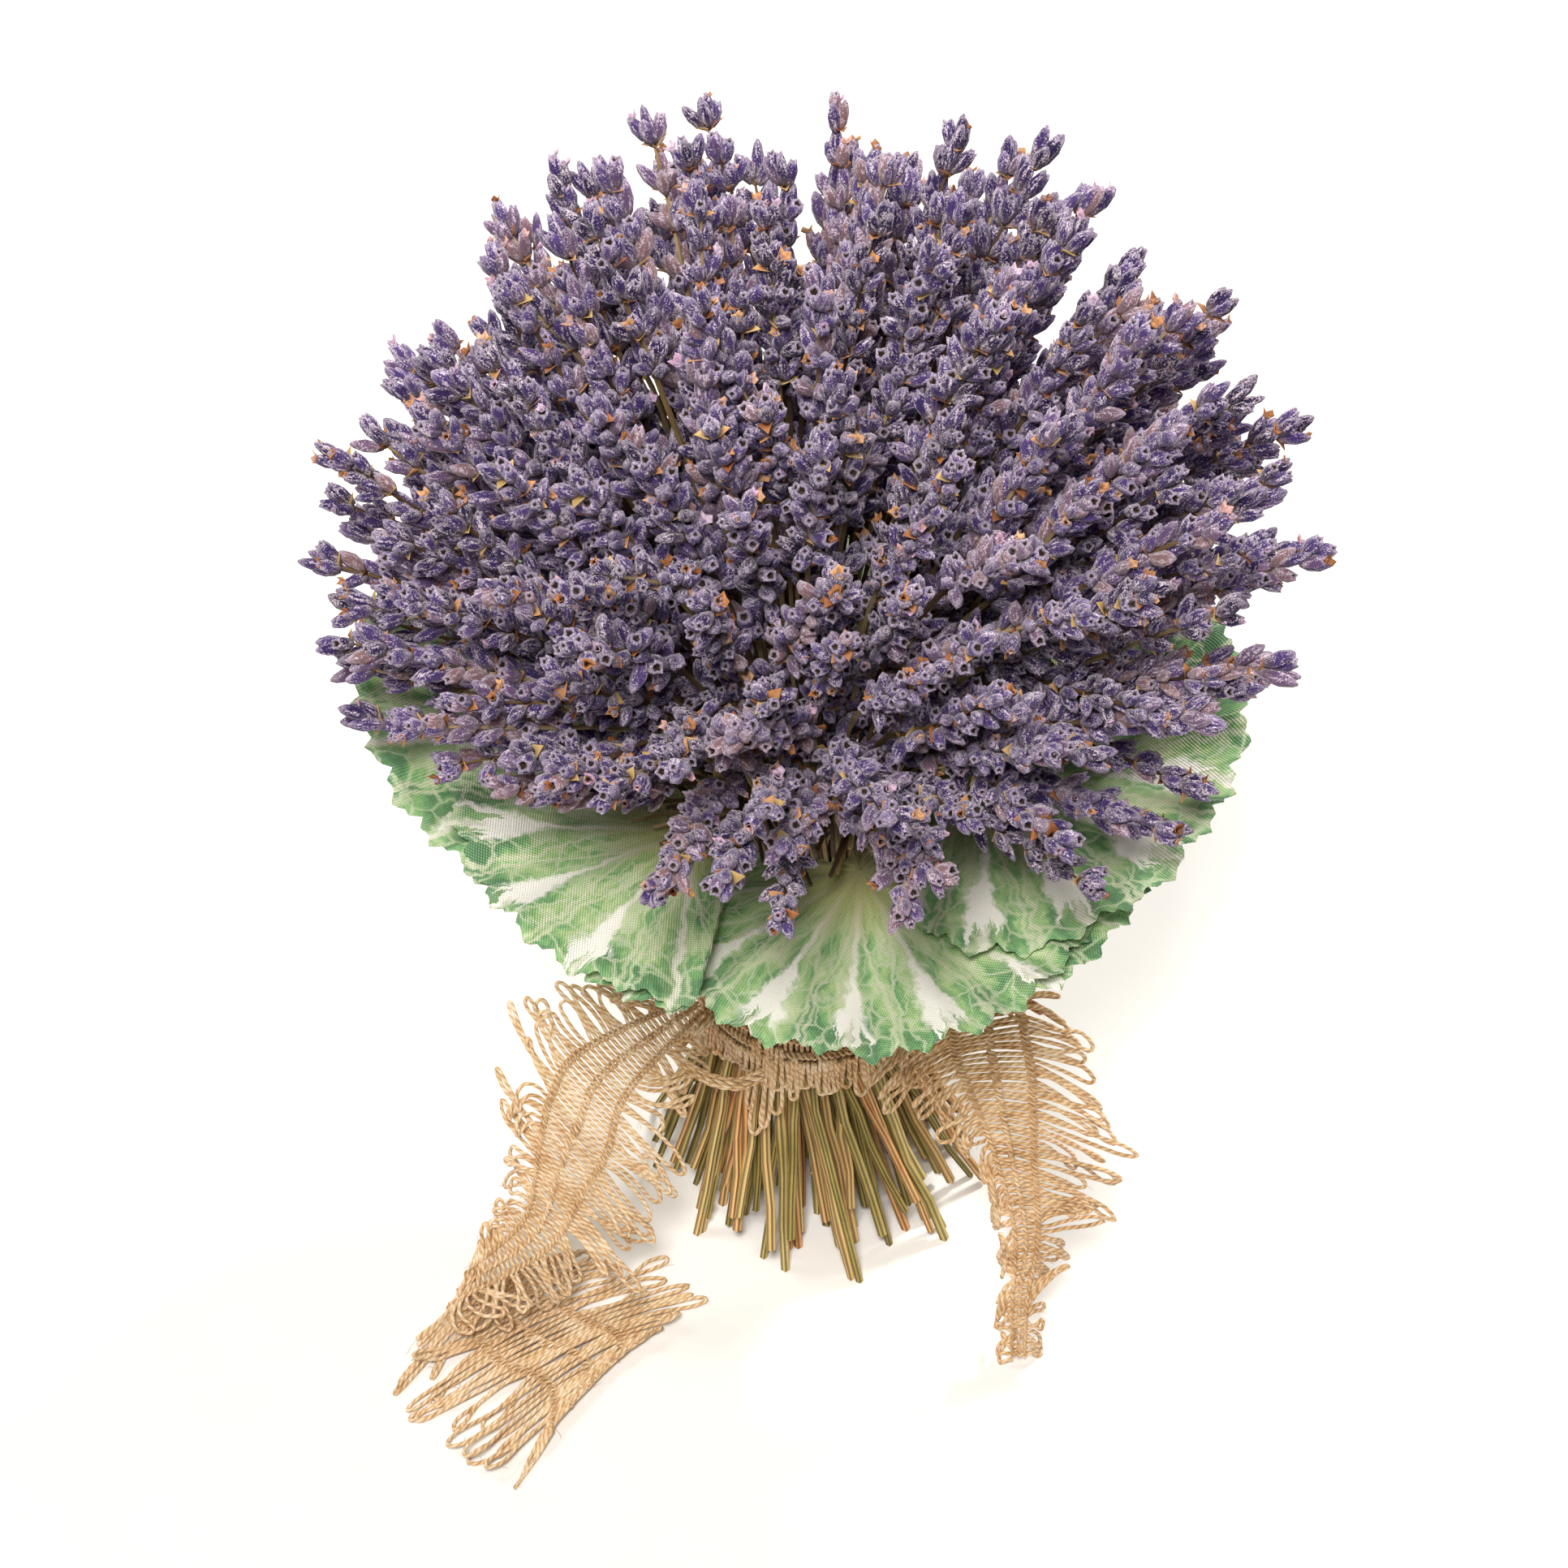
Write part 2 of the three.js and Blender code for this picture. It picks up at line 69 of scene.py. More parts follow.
MM = 0.001
SEED = 7
GOLDEN_ANGLE = math.pi * (3 - math.sqrt(5))
SPIKE_COUNT = 225
SPRAY_COUNT = 45
FAN_CENTRE = Vector((-3, 0, 165)) * MM
DOME_HEIGHT = 216 * MM
DOME_HALF_WIDTH = 112 * MM
DOME_HALF_DEPTH = 97 * MM
DOME_RISE = 104 * MM
DOME_LAST_ANGLE = math.radians(101)
TIP_SCATTER = 1.6 * MM
TIP_DEPTH_SCATTER = 8 * MM
TIP_LEAST_SPACING = 16.5 * MM
SPREADING_PASSES = 12
SPIKE_LENGTH = 54 * MM
SPIKE_LENGTH_SCATTER = 7 * MM
SPIKE_LONGEST_SHARE = 0.5
COLLAR_RADIUS = 43 * MM
COLLAR_HEIGHT = 150 * MM
COLLAR_SLOPE = 0.48
COLLAR_FRONT_DROOP = 0.45
COLLAR_CLEAR_OF_TIPS = 16 * MM


def make_draw(seed):
    """A repeatable sequence of numbers from 0 to 1."""
    state = seed

    def draw():
        nonlocal state
        state = (state * 1664525 + 1013904223) % 4294967296
        return state / 4294967296

    return draw


def collar_height(x, y):
    """The height of the leaves' shallow funnel, which droops at the front."""
    radius = math.hypot(x, y)
    droop = COLLAR_FRONT_DROOP * min(0, y / max(radius, MM))
    return COLLAR_HEIGHT + (COLLAR_SLOPE + droop) * (radius - COLLAR_RADIUS)


def dome_point(share, turn, tilt=0.0):
    """The point of the dome at a share of its area, counted from the top."""
    angle = math.acos(1 - share * (1 - math.cos(DOME_LAST_ANGLE))) + tilt
    return Vector((
        DOME_HALF_WIDTH * math.sin(angle) * math.cos(turn),
        DOME_HALF_DEPTH * math.sin(angle) * math.sin(turn),
        DOME_HEIGHT + DOME_RISE * math.cos(angle),
    ))


def spread_tips(tips):
    """Moves apart, a little at a time, the tips that stand too close."""
    for _ in range(SPREADING_PASSES):
        for i in range(len(tips)):
            for j in range(i):
                apart = tips[i] - tips[j]
                distance = apart.length
                if distance < TIP_LEAST_SPACING:
                    apart *= (TIP_LEAST_SPACING / distance - 1) / 2
                    tips[i] += apart
                    tips[j] -= apart


def lay_out_spikes():
    """Each spike's foot at its lowest whorl, its length and the direction that it points in."""
    draw = make_draw(SEED)
    scatters = (TIP_SCATTER, TIP_SCATTER, TIP_DEPTH_SCATTER, SPIKE_LENGTH_SCATTER)
    drawn = []
    tips = []
    for i in range(SPIKE_COUNT):
        sideways, down, outward, longer = [(draw() - 0.5) * 2 * size for size in scatters]
        phase = draw() * math.pi
        turn = i * GOLDEN_ANGLE + sideways / DOME_HALF_WIDTH
        tips.append(dome_point((i + 0.5) / SPIKE_COUNT, turn, down / DOME_HALF_WIDTH))
        drawn.append((outward, longer, phase))
    spread_tips(tips)
    laid = []
    for i, (outward, longer, phase) in enumerate(drawn):
        tip = FAN_CENTRE + (tips[i] - FAN_CENTRE) * (1 + outward / DOME_HALF_WIDTH)
        tip.z = max(tip.z, collar_height(tip.x, tip.y) + COLLAR_CLEAR_OF_TIPS)
        ray = tip - FAN_CENTRE
        axis = ray.normalized()
        length = min(SPIKE_LENGTH + longer, SPIKE_LONGEST_SHARE * ray.length)
        laid.append({"index": i, "foot": tip - axis * length, "axis": axis,
                     "length": length, "phase": phase})
    return laid


def share_into_sprays(spikes):
    """Each spray holds the spikes that point nearest to its own direction."""
    axes = []
    for k in range(SPRAY_COUNT):
        crown = dome_point((k + 0.5) / SPRAY_COUNT, k * GOLDEN_ANGLE)
        axes.append((crown - FAN_CENTRE).normalized())
    sprays = [[] for _ in axes]
    for spike in spikes:
        nearest = max(range(SPRAY_COUNT), key=lambda k: axes[k].dot(spike["axis"]))
        sprays[nearest].append(spike)
    return sprays


SPIKES = lay_out_spikes()
SPRAYS = share_into_sprays(SPIKES)

# ---- Calyx ----
# The furry barrel that held one flower. It is ribbed, widest past its middle, and closes to
# a pale toothed mouth whose sunken inside is painted dark as shade, or stays shut where the
# bud never opened. Drying has left it violet, and greyer at its base. Each kind is modelled
# once and copied.

CALYX_SIDES = 8
OPEN_CALYX_RINGS = [  # height and radius in millimetres, and the place along the calyx
    (0.0, 0.5, 0.0),
    (1.4, 1.3, 0.22),
    (3.7, 1.62, 0.58),
    (6.0, 1.12, 1.0),
    (5.7, 0.72, 1.1),
    (4.3, 0.5, 1.5),
]
NARROW_CALYX_RINGS = [
    (0.0, 0.5, 0.0),
    (1.5, 1.3, 0.22),
    (3.8, 1.56, 0.58),
    (6.1, 0.86, 1.0),
    (5.8, 0.4, 1.1),
    (4.9, 0.3, 1.5),
]
SHUT_CALYX_RINGS = [
    (0.0, 0.5, 0.0),
    (1.5, 1.25, 0.22),
    (3.9, 1.5, 0.58),
    (5.9, 0.9, 0.9),
    (6.8, 0.25, 1.0),
]
CALYX_RIB = 0.09  # how far every second edge stands out and the rest lie in, as a share
CALYX_TOOTH = 0.28 * MM
CALYX_MOUTH = 5.6 * MM
CALYX_RIM = 5.2 * MM  # above which the edge is toothed
FLOWER_SLOTS = {"calyx": 0, "bract": 1, "petal": 2, "stem": 3, "pith": 4, "stalk": 5}


def hex_colour(text):
    """An sRGB hex value as the linear colour that shaders take."""
    parts = [int(text[i:i + 2], 16) / 255 for i in (0, 2, 4)]
    linear = [p / 12.92 if p <= 0.04045 else ((p + 0.055) / 1.055) ** 2.4 for p in parts]
    return (*linear, 1.0)


def add_node(tree, kind, inputs=None, stops=None, **settings):
    """Adds a node. An input is a value, or a node or an output of one to link from."""
    made = tree.nodes.new(kind)
    for name, value in settings.items():
        setattr(made, name, value)
    for key, value in (inputs or {}).items():
        shown = [socket for socket in made.inputs if socket.enabled]
        target = shown[key] if isinstance(key, int) else next(s for s in shown if s.name == key)
        if isinstance(value, bpy.types.Node):
            value = next(socket for socket in value.outputs if socket.enabled)
        if isinstance(value, bpy.types.NodeSocket):
            tree.links.new(value, target)
        else:
            target.default_value = value
    for i, (place, colour) in enumerate(stops or []):
        ramp = made.color_ramp.elements
        element = ramp[i] if i < 2 else ramp.new(place)
        element.position = place
        element.color = hex_colour(colour)
    return made


def start_material(name, **sockets):
    """A new material, its node tree and its surface shader, with constant sockets set."""
    material = bpy.data.materials.new(name)
    material.use_nodes = True
    tree = material.node_tree
    shader = tree.nodes["Principled BSDF"]
    for key, value in sockets.items():
        shader.inputs[key.replace("_", " ")].default_value = value
    return material, tree, shader


class Shape:
    """Points, faces, and for each face its material slot and the UVs of its corners."""

    def __init__(self, points, faces, uvs, slots, smooth=True):
        self.points = np.asarray(points, float)
        self.corners = np.array([i for face in faces for i in face])
        self.counts = np.array([len(face) for face in faces])
        self.uvs = np.asarray(uvs, float)
        self.slots = np.asarray(slots)
        self.smooth = np.full(len(faces), smooth)


class Heap:
    """Copies of shapes, each with a tone from 0 to 1 that its materials read, as one mesh."""

    def __init__(self):
        self.points, self.corners, self.counts = [], [], []
        self.uvs, self.slots, self.tones, self.smooth = [], [], [], []
        self.total = 0

    def add(self, shape, turn=None, offset=(0, 0, 0), tone=0.5):
        points = shape.points if turn is None else shape.points @ np.asarray(turn).T
        self.points.append(points + np.asarray(offset))
        self.corners.append(shape.corners + self.total)
        self.counts.append(shape.counts)
        self.uvs.append(shape.uvs)
        self.slots.append(shape.slots)
        self.smooth.append(shape.smooth)
        self.tones.append(np.full(len(points), tone))
        self.total += len(points)

    def make(self, name, materials):
        mesh = bpy.data.meshes.new(name)
        counts = np.concatenate(self.counts)
        corners = np.concatenate(self.corners)
        mesh.vertices.add(self.total)
        mesh.vertices.foreach_set("co", np.concatenate(self.points).ravel())
        mesh.loops.add(len(corners))
        mesh.loops.foreach_set("vertex_index", corners)
        mesh.polygons.add(len(counts))
        mesh.polygons.foreach_set("loop_start", np.cumsum(counts) - counts)
        mesh.polygons.foreach_set("material_index", np.concatenate(self.slots))
        mesh.polygons.foreach_set("use_smooth", np.concatenate(self.smooth))
        mesh.update(calc_edges=True)
        mesh.uv_layers.new(name="UVMap").uv.foreach_set(
            "vector", np.concatenate(self.uvs).ravel())
        tones = mesh.attributes.new("tone", "FLOAT", "POINT")
        tones.data.foreach_set("value", np.concatenate(self.tones))
        for material in materials:
            mesh.materials.append(material)
        made = bpy.data.objects.new(name, mesh)
        bpy.context.collection.objects.link(made)
        return made


def read_shape(made, uv_of, slot):
    """Takes the shape of an object just modelled, and removes the object."""
    mesh = made.data
    points = [tuple(vert.co) for vert in mesh.vertices]
    faces = [tuple(polygon.vertices) for polygon in mesh.polygons]
    uvs = []
    for face in faces:
        corners = [uv_of(Vector(points[i])) for i in face]
        widest = max(u for u, _ in corners)
        uvs += [(u + 1 if widest - u > 0.5 else u, v) for u, v in corners]
    bpy.data.objects.remove(made)
    return Shape(points, faces, uvs, [slot] * len(faces))


def model_calyx(rings):
    """A small circle extruded ring by ring into the calyx, then ribbed and toothed."""
    height, radius = rings[0][:2]
    bpy.ops.mesh.primitive_circle_add(
        vertices=CALYX_SIDES, radius=radius * MM, fill_type="NGON")
    bpy.ops.object.mode_set(mode="EDIT")
    for next_height, next_radius in (ring[:2] for ring in rings[1:]):
        rise = (0, 0, (next_height - height) * MM)
        size = next_radius / radius
        bpy.ops.mesh.extrude_region_move(TRANSFORM_OT_translate={"value": rise})
        bpy.ops.transform.resize(
            value=(size, size, 1), center_override=(0, 0, next_height * MM))
        height, radius = next_height, next_radius
    bpy.ops.mesh.select_all(action="DESELECT")
    bpy.ops.mesh.select_non_manifold()
    if any(edge.select for edge in bmesh.from_edit_mesh(bpy.context.object.data).edges):
        bpy.ops.mesh.edge_face_add()
    bpy.ops.mesh.select_all(action="SELECT")
    bpy.ops.mesh.normals_make_consistent(inside=False)
    bpy.ops.object.mode_set(mode="OBJECT")
    made = bpy.context.object
    for vert in made.data.vertices:
        turn = math.atan2(vert.co.y, vert.co.x) / (2 * math.pi) * CALYX_SIDES
        stands_out = 1 if round(turn) % 2 else -1
        vert.co.x *= 1 + CALYX_RIB * stands_out
        vert.co.y *= 1 + CALYX_RIB * stands_out
        if vert.co.z > CALYX_RIM:
            vert.co.z += CALYX_TOOTH * stands_out

    def uv_of(point):
        """How far round and how far along the calyx a point lies."""
        out = math.hypot(point.x, point.y) / MM
        nearest = min(rings, key=lambda r: abs(r[0] - point.z / MM) + abs(r[1] - out))
        return math.atan2(point.y, point.x) / (2 * math.pi) + 0.5, nearest[2]

    return read_shape(made, uv_of, FLOWER_SLOTS["calyx"])


CALYX_KINDS = [
    model_calyx(rings) for rings in (OPEN_CALYX_RINGS, NARROW_CALYX_RINGS, SHUT_CALYX_RINGS)]
CALYX_SHARES = (0.2, 0.3, 0.5)  # of all the calyces, for each kind

# Dried calyx wool: matt, with the pale sheen that short hairs give at its edges, and pale
# streaks and specks of hair on violet. The streaks are drawn a dozen to a calyx and the
# specks 0.4 mm wide, coarser than the real hairs, to show.
calyx_wool, tree, shader = start_material(
    "dried_calyx_wool", Roughness=0.9, Sheen_Weight=0.7, Sheen_Roughness=0.3,
    Sheen_Tint=hex_colour("f0e6f2"), Specular_IOR_Level=0.15,
)
tone = add_node(tree, "ShaderNodeAttribute", attribute_name="tone").outputs["Fac"]
uv = add_node(tree, "ShaderNodeUVMap", uv_map="UVMap")
place = add_node(tree, "ShaderNodeTexCoord").outputs["Object"]
parts = add_node(tree, "ShaderNodeSeparateXYZ", {0: uv})
around = add_node(tree, "ShaderNodeMath", {0: parts.outputs["X"], 1: 12.0},
                  operation="MULTIPLY")
along = add_node(tree, "ShaderNodeMath", {0: parts.outputs["Y"], 1: 2.0},
                 operation="MULTIPLY")
own = add_node(tree, "ShaderNodeMath", {0: tone, 1: 300.0}, operation="MULTIPLY")
streak_place = add_node(tree, "ShaderNodeCombineXYZ", {"X": around, "Y": along, "Z": own})
streaks = add_node(tree, "ShaderNodeTexNoise", {
    "Vector": streak_place, "Scale": 1.0, "Detail": 3.0, "Roughness": 0.6})
fuzz = add_node(tree, "ShaderNodeTexNoise", {
    "Vector": place, "Scale": 2400.0, "Detail": 2.0, "Roughness": 0.7})
raised = add_node(tree, "ShaderNodeMath", {
    0: fuzz.outputs["Fac"], 1: 0.9, 2: streaks.outputs["Fac"]}, operation="MULTIPLY_ADD")
pale = add_node(tree, "ShaderNodeMapRange", {
    "Value": raised, "From Min": 0.97, "From Max": 1.18, "To Max": 0.95})
skin = add_node(tree, "ShaderNodeValToRGB", {"Fac": tone}, stops=[
    (0.0, "2a1e42"), (1.0, "8c6c70"), (0.3, "3c2d60"), (0.65, "534178"), (0.88, "745a74")])
base_share = add_node(tree, "ShaderNodeMapRange", {
    "Value": parts.outputs["Y"], "From Max": 0.45, "To Min": 0.6, "To Max": 0.0})
rim = add_node(tree, "ShaderNodeMath", {
    0: fuzz.outputs["Fac"], 1: 0.35, 2: parts.outputs["Y"]}, operation="MULTIPLY_ADD")
rim_share = add_node(tree, "ShaderNodeMapRange", {
    "Value": rim, "From Min": 1.02, "From Max": 1.24, "To Max": 0.65})
# Painted shade: past its lip the calyx's sunken mouth is coloured near-black brown.
mouth_shade_share = add_node(tree, "ShaderNodeMapRange", {
    "Value": parts.outputs["Y"], "From Min": 1.04, "From Max": 1.2})
coloured = skin
for share, colour in ((pale, "f2e2ee"), (base_share, "8f7c72"), (rim_share, "cfc0d6"),
                      (mouth_shade_share, "33251c")):
    coloured = add_node(tree, "ShaderNodeMix", {
        "Factor": share, "A": coloured, "B": hex_colour(colour)}, data_type="RGBA")
bump = add_node(tree, "ShaderNodeBump", {
    "Strength": 1.0, "Distance": 0.4 * MM, "Height": raised})
tree.links.new(coloured.outputs[2], shader.inputs["Base Color"])
tree.links.new(bump.outputs[0], shader.inputs["Normal"])

# ---- Bracts and dried petals ----
# A pair of thin rusty bracts holds each whorl from below. Some calyces still hold their
# flower, shrivelled to a crumpled orange-brown or faded lilac scrap with ragged lobes.

BRACT_LENGTH = 4.6
BRACT_HALF_WIDTH = 1.7
BRACT_THICKNESS = 0.12
BRACT_FOOT = 0.12  # the share of its oval outline that the foot cuts off
BRACT_FULLNESS = 0.8
BRACT_CUP = 0.9
BRACT_DROOP = 0.8
PETAL_LOBES = 5
PETAL_REACH = 2.3
PETAL_TUBE_RADIUS = 0.45
PETAL_HEIGHT = 1.5
PETAL_NOTCH = 0.45  # how far out the edge lies between two lobes, as a share
PETAL_SHRINKAGE = (0.6, 1.0)
PETAL_CRUMPLE = (-0.9, 0.5)


def thicken(made, thickness):
    """Gives a sheet that is the active object its thickness."""
    solidify = made.modifiers.new("thickness", "SOLIDIFY")
    solidify.thickness = thickness
    bpy.ops.object.modifier_apply(modifier=solidify.name)


def model_bract(slot):
    """A small plane divided once and shaped into a cupped, drooping oval."""
    bpy.ops.mesh.primitive_plane_add(size=1)
    made = bpy.context.object
    bpy.ops.object.mode_set(mode="EDIT")
    bpy.ops.mesh.subdivide(number_cuts=1)
    bpy.ops.object.mode_set(mode="OBJECT")
    for vert in made.data.vertices:
        along = vert.co.y + 0.5
        oval = math.sin(math.pi * min(1, BRACT_FOOT + (1 - BRACT_FOOT) * along))
        across = 2 * vert.co.x * oval ** BRACT_FULLNESS
        cup = BRACT_CUP * across ** 2 - BRACT_DROOP * along ** 2
        vert.co = Vector((BRACT_HALF_WIDTH * across, BRACT_LENGTH * along, cup)) * MM
    thicken(made, BRACT_THICKNESS * MM)
    width, length = 4 * BRACT_HALF_WIDTH * MM, BRACT_LENGTH * MM
    return read_shape(made, lambda p: (p.x / width + 0.5, p.y / length), slot)


def model_petals(slot):
    """A small funnel whose edge is cut in lobes, then shrunk and crumpled."""
    bpy.ops.mesh.primitive_cone_add(
        vertices=2 * PETAL_LOBES, radius1=PETAL_TUBE_RADIUS * MM, radius2=PETAL_REACH * MM,
        depth=PETAL_HEIGHT * MM, end_fill_type="NOTHING",
        location=(0, 0, PETAL_HEIGHT / 2 * MM))
    made = bpy.context.object
    bpy.ops.object.transform_apply(location=True)
    draw = random.Random(SEED)
    for vert in made.data.vertices:
        if vert.co.z > PETAL_HEIGHT / 2 * MM:
            lobe = round(math.atan2(vert.co.y, vert.co.x) / math.pi * PETAL_LOBES) % 2
            size = (1.0 if lobe else PETAL_NOTCH) * draw.uniform(*PETAL_SHRINKAGE)
            vert.co.x *= size
            vert.co.y *= size
            vert.co.z += draw.uniform(*PETAL_CRUMPLE) * MM
    thicken(made, BRACT_THICKNESS * MM)
    return read_shape(
        made, lambda p: (p.x / (6 * PETAL_REACH * MM) + 0.5, p.z / (2 * MM)), slot)


BRACT = model_bract(FLOWER_SLOTS["bract"])
PETALS = model_petals(FLOWER_SLOTS["petal"])

# Dry bract: papery and brittle, mottled from rust brown to straw.
bract_paper, tree, shader = start_material(
    "dried_papery_bract", Roughness=0.7, Specular_IOR_Level=0.3)
tone = add_node(tree, "ShaderNodeAttribute", attribute_name="tone").outputs["Fac"]
place = add_node(tree, "ShaderNodeTexCoord").outputs["Object"]
mottle = add_node(tree, "ShaderNodeTexNoise", {"Vector": place, "Scale": 700.0, "Detail": 3.0})
shade = add_node(tree, "ShaderNodeMath", {0: mottle.outputs["Fac"], 1: 0.5, 2: tone},
                 operation="MULTIPLY_ADD")
ramp = add_node(tree, "ShaderNodeValToRGB", {"Fac": shade}, stops=[
    (0.2, "6b4028"), (1.0, "c3a56c"), (0.5, "a5683f"), (0.8, "c99365")])
tree.links.new(ramp.outputs[0], shader.inputs["Base Color"])

# Shrivelled petal: matt crumpled tissue, mostly orange-brown, at times faded lilac or pink.
petal_tissue, tree, shader = start_material(
    "shrivelled_petal", Roughness=0.8, Specular_IOR_Level=0.2)
tone = add_node(tree, "ShaderNodeAttribute", attribute_name="tone").outputs["Fac"]
place = add_node(tree, "ShaderNodeTexCoord").outputs["Object"]
mottle = add_node(tree, "ShaderNodeTexNoise", {"Vector": place, "Scale": 1200.0, "Detail": 2.0})
ramp = add_node(tree, "ShaderNodeValToRGB", {"Fac": tone}, stops=[
    (0.0, "8f5a38"), (1.0, "d9c3d6"), (0.3, "bf8456"), (0.6, "e3b184"), (0.8, "c9a4c0")])
darker = add_node(tree, "ShaderNodeMapRange", {
    "Value": mottle.outputs["Fac"], "From Min": 0.3, "From Max": 0.7, "To Min": 0.55,
    "To Max": 1.15})
shaded = add_node(tree, "ShaderNodeMix", {"Factor": 1.0, "A": ramp, "B": darker},
                  data_type="RGBA", blend_type="MULTIPLY")
tree.links.new(shaded.outputs[2], shader.inputs["Base Color"])

# ---- Flower sprays ----
# Each stem carries a spike of whorls six to twelve millimetres apart, closer towards its tip.
# A whorl is four to eight calyces that lean out round the stem, over a pair of bracts. Most
# spikes have one or two more whorls, set off by themselves lower down the stem.

STALK_RADIUS = 0.7 * MM
WAIST_HEIGHT = 84 * MM
WAIST_STEM_RADIUS = 20 * MM  # of the circle that the outermost stems stand on
WAIST_TURN = math.radians(20)  # round the bunch, from a spike to its stem at the waist
WHORL_SPACING = 6.9 * MM
TOP_CALYX_ROOM = 4.5 * MM  # the last whorl's calyces reach this far to the tip
SPIKE_BEND = 3.2 * MM
SPIKE_LEAN = 0.1  # radians either way from its place in the fan, as a standard deviation
FLOWERING_SHARE = 0.16
LATE_START_SHARE = 0.25  # of the spikes, whose lowest whorl has dropped off
LONE_WHORL_SHARES = (0.1, 0.4, 0.5)  # of the spikes with none, one and two of them
LONE_WHORL_DROP = (10, 42)  # millimetres below the spike
LONE_WHORL_TILT = math.radians(34)
LONE_WHORL_CALYCES = (4, 6)
SPACING_SHARES = (0.9, 1.75, 1.0)  # the least, most and likeliest share of WHORL_SPACING
LEAST_WHORLS = 4
WHORL_CROWDING = 0.16  # how much closer they stand towards the tip
WHORL_SCATTER = 1.2  # millimetres up or down the stem
WHORL_CALYCES = 7
WHORL_CALYCES_LOST = 2.5  # from the lowest whorl to the last
WHORL_TILT = 46  # degrees out from the stem
WHORL_TILT_LOST = 26  # degrees, from the lowest whorl to the last
WHORL_TILT_LATENESS = 1.4  # above 1, most of that is lost near the tip
WHORL_TWIST = 0.8  # radians round the stem, from one whorl to the next
INNER_TILT = 0.4  # of the inner calyces, as a share of the outer ones' tilt
INNER_RISE = 1.6  # millimetres
CALYX_TURN_SCATTER = 0.3  # of the step from one calyx to the next
CALYX_LEAN_SCATTER = 0.14
CALYX_OFF_STEM = 0.9  # millimetres
CALYX_LENGTHS = (0.88, 1.12)
CALYX_WIDTHS = (0.85, 1.1)
CALYX_TONE_SCATTER = 0.22
PETAL_SIZES = (0.6, 1.25)
BRACT_SIZES = (0.75, 1.05)
BRACT_OUT = 0.8
BRACT_UP = (0.35, 0.8)
BRACT_BELOW = 0.6  # millimetres under the whorl's middle
SPIKE_DRYNESS = (0.1, 0.85)
SPIKE_SIZES = (1.02, 1.28)
SPIKE_OPENNESS = (0.7, 1.1)
STALK_RINGS = 12
STALK_RISE = 45 * MM  # straight up from the waist, before it bends out
STALK_SHOULDER = 0.5  # of the way out, from where it follows its own line in the fan
NO_STEM_FOLLOWS = (0.31, 0.17, 0.93)  # a direction to start a turn round a stem from
NO_CALYX_FOLLOWS = (0.36, 0.48, 0.8)  # and one for a turn round a calyx


def tube(path, radii, sides, slot, cap_slot=None, smooth=True):
    """A closed tube along a path. Its UV is the turn round it and millimetres along."""
    path = np.asarray(path, float)
    steps = np.gradient(path, axis=0)
    tangents = steps / np.linalg.norm(steps, axis=1, keepdims=True)
    normal = np.cross(tangents[0], NO_STEM_FOLLOWS)
    angles = np.arange(sides) * 2 * math.pi / sides
    rings = []
    for point, tangent, radius in zip(path, tangents, radii):
        normal = normal - tangent * normal.dot(tangent)
        normal /= np.linalg.norm(normal)
        side = np.cross(tangent, normal)
        rings.append(point + radius * (
            np.outer(np.cos(angles), normal) + np.outer(np.sin(angles), side)))
    lengths = np.concatenate([[0], np.cumsum(np.linalg.norm(np.diff(path, axis=0), axis=1))])
    faces = []
    uvs = []
    for k in range(len(path) - 1):
        for i in range(sides):
            j = (i + 1) % sides
            this, following = k * sides, (k + 1) * sides
            faces.append((this + i, this + j, following + j, following + i))
            low, high = lengths[k] / MM, lengths[k + 1] / MM
            left, right = i / sides, (i + 1) / sides
            uvs += [(left, low), (right, low), (right, high), (left, high)]
    last = (len(path) - 1) * sides
    faces.append(tuple(range(sides))[::-1])
    faces.append(tuple(last + i for i in range(sides)))
    uvs += [(0.5, 0.0)] * sides + [(0.5, lengths[-1] / MM)] * sides
    slots = [slot] * (len(faces) - 2) + [slot if cap_slot is None else cap_slot] * 2
    return Shape(np.concatenate(rings), faces, uvs, slots, smooth)


def bezier(corners, count):
    """Points of the curve that a polygon of three or four corners controls."""
    t = np.linspace(0, 1, count)[:, None]
    while len(corners) > 1:
        corners = [a * (1 - t) + b * t for a, b in zip(corners, corners[1:])]
    return corners[0]


def waist_point(index):
    """Where a stem crosses the waist, in the order that the spikes stand in the dome."""
    radius = WAIST_STEM_RADIUS * math.sqrt((index + 0.5) / SPIKE_COUNT)
    turn = index * GOLDEN_ANGLE + WAIST_TURN
    return np.array((radius * math.cos(turn), radius * math.sin(turn), WAIST_HEIGHT))


def directed(direction, roll, width=1.0, length=1.0):
    """The matrix that points +Z along a direction, with a roll and a size."""
    forward = np.asarray(direction) / np.linalg.norm(direction)
    side = np.cross(forward, NO_CALYX_FOLLOWS)
    side /= np.linalg.norm(side)
    other = np.cross(forward, side)
    x_axis = side * math.cos(roll) + other * math.sin(roll)
    y_axis = np.cross(forward, x_axis)
    return np.column_stack((x_axis * width, y_axis * width, forward * length))


def laid_out(direction, upwards, size):
    """The matrix that points +Y along a direction and +Z as near to upwards as it can."""
    forward = np.asarray(direction) / np.linalg.norm(direction)
    side = np.cross(forward, upwards)
    side /= np.linalg.norm(side)
    return np.column_stack((side, forward, np.cross(side, forward))) * size


